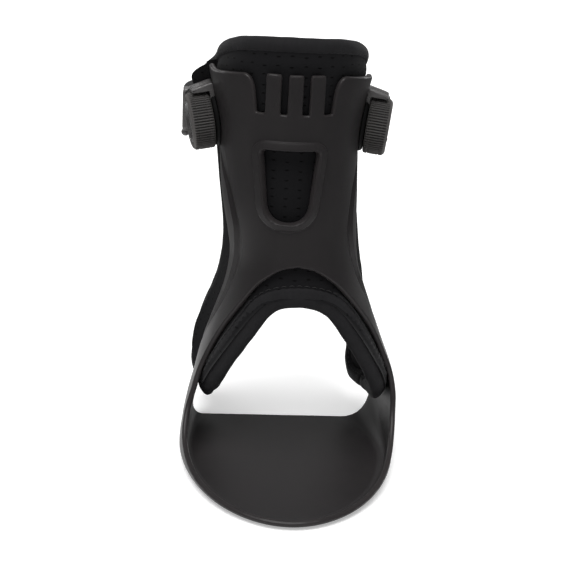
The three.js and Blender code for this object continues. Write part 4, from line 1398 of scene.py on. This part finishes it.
def joinClose(piece):
    weld = piece.modifiers.new("weld", "WELD")
    weld.merge_threshold = 0.00001
    graph = bpy.context.evaluated_depsgraph_get()
    piece.data = bpy.data.meshes.new_from_object(piece.evaluated_get(graph))
    piece.modifiers.clear()


def makeLaces(side, sign, seat, middle):
    outletTop = dialSet["radius"] + dialSet["outletGap"] + dialSet["outletRise"]
    for k, name in enumerate(("upper", "lower")):
        row = {key: laceRows[key][k] for key in laceRows}
        aside = sign * (dialSet["outletWidth"] / 2 + 0.1)
        start = seated([(aside, outletTop - row["down"], row["out"])], seat)[0]
        end = middle + (0, -strapSet["guideLength"] / 2 + 0.2, strapSet["width"] * row["up"])
        straight = mix(start, end, 0.5)
        bow = straight + (sign * 1.0, 0, 1.6)
        steps, count = strapSet["laceSteps"], strapSet["laceSides"]
        points, faces = tubeOf(bezier([start, bow, end], steps), strapSet["lace"], count)
        along = np.linspace(0, np.linalg.norm(end - start), steps + 1)
        around = np.linspace(0, 2 * math.pi, count + 1)[:-1]
        layers = {"u": np.repeat(along, count), "v": np.tile(around, steps + 1)}
        piece = makeMesh(f"lace_run_{side}_{name}", place(points), faces, finishes["lace"], layers)
        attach(piece, "root")
        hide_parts(f"lace_{side}_{name}")


finishes["lace"] = braid()
makeStrap()
for side, sign in (("left", -1), ("right", 1)):
    middle = makeGuide(side, sign)
    makeLaces(side, sign, seats[side], middle)
print("strap and laces made")


# A pale floor and soft studio light.
studioSet = {
    "floor": 3.0,
    "nearFloor": 0.3,
    "floorStep": 0.0002,
    "floorColour": (0.82, 0.82, 0.82, 1),
    "floorShade": (0.78, 0.78, 0.78, 1),
    "world": 0.22,
    "floorGlow": 0.4,
    "backdropSides": 48,
    "backdropGlow": 0.8,
    "sky": 3.3,
    "skyAngle": 46.0,
    "skyFrom": (-0.12, -0.32, 1.0),
    "lights": (  # name, place, aimed at, width, height, watts
        ("leftStrip", (-0.95, 1.2, 0.5), (0.0, 0.05, 0.12), 0.2, 0.8, 2.0),
        ("rightStrip", (0.95, 1.2, 0.5), (0.0, 0.05, 0.12), 0.2, 0.8, 2.0),
        ("backPanel", (0.0, 1.5, 0.85), (0.0, 0.05, 0.1), 1.0, 0.4, 1.2),
    ),
}


def makeStudio():
    bpy.context.scene.view_settings.view_transform = "Standard"
    half = studioSet["floor"]
    turn = np.linspace(0, 2 * math.pi, studioSet["backdropSides"] + 1)[:-1]
    circle = np.stack([np.cos(turn), np.sin(turn), 0 * turn], 1)
    paper = studioPaper("studio_floor", studioSet["floorGlow"])
    # The far floor lies a hair lower, and isn't mirrored in the gloss of the sides.
    rounds = (("floor", studioSet["nearFloor"], 0), ("far_floor", half, -studioSet["floorStep"]))
    for name, radius, z in rounds:
        floor = makeMesh(name, circle * radius + (0, 0, z), [list(range(len(turn)))], paper, flat=True)
        floor.visible_glossy = name == "floor"
    ring = half * circle
    wall = np.vstack([ring, ring + (0, 0, half)])
    sides = gridFaces(2, len(turn), loop=True)
    paper = studioPaper("studio_backdrop", studioSet["backdropGlow"])
    backdrop = makeMesh("backdrop", wall, sides, paper, flat=True)
    backdrop.visible_diffuse = backdrop.visible_glossy = backdrop.visible_shadow = False
    for name, at, aim, width, height, watts in studioSet["lights"]:
        data = bpy.data.lights.new(name, "AREA")
        data.shape = "RECTANGLE"
        data.size, data.size_y, data.energy = width, height, watts
        light = bpy.data.objects.new(name, data)
        light.location = at
        light.visible_camera = False
        light.rotation_euler = (Vector(aim) - Vector(at)).to_track_quat("-Z", "Y").to_euler()
        bpy.context.scene.collection.objects.link(light)
    data = bpy.data.lights.new("sky", "SUN")
    data.energy, data.angle = studioSet["sky"], math.radians(studioSet["skyAngle"])
    sky = bpy.data.objects.new("sky", data)
    sky.rotation_euler = Vector(studioSet["skyFrom"]).to_track_quat("Z", "Y").to_euler()
    bpy.context.scene.collection.objects.link(sky)
    world = bpy.data.worlds.new("studio")
    world.use_nodes = True
    world.node_tree.nodes["Background"].inputs["Color"].default_value = (1, 1, 1, 1)
    world.node_tree.nodes["Background"].inputs["Strength"].default_value = studioSet["world"]
    bpy.context.scene.world = world


def studioPaper(name, glow):
    sheet = Sheet(name, Specular_IOR_Level=0.1, Emission_Color=(1, 1, 1, 1), Emission_Strength=glow)
    grain = sheet.noise(sheet.spot(), 300.0, 3.0)
    colour = sheet.tint(grain * 0.2, studioSet["floorColour"], studioSet["floorShade"])
    return sheet.feel(Base_Color=colour, Roughness=0.8 + grain * 0.1)


makeStudio()
print("studio made")
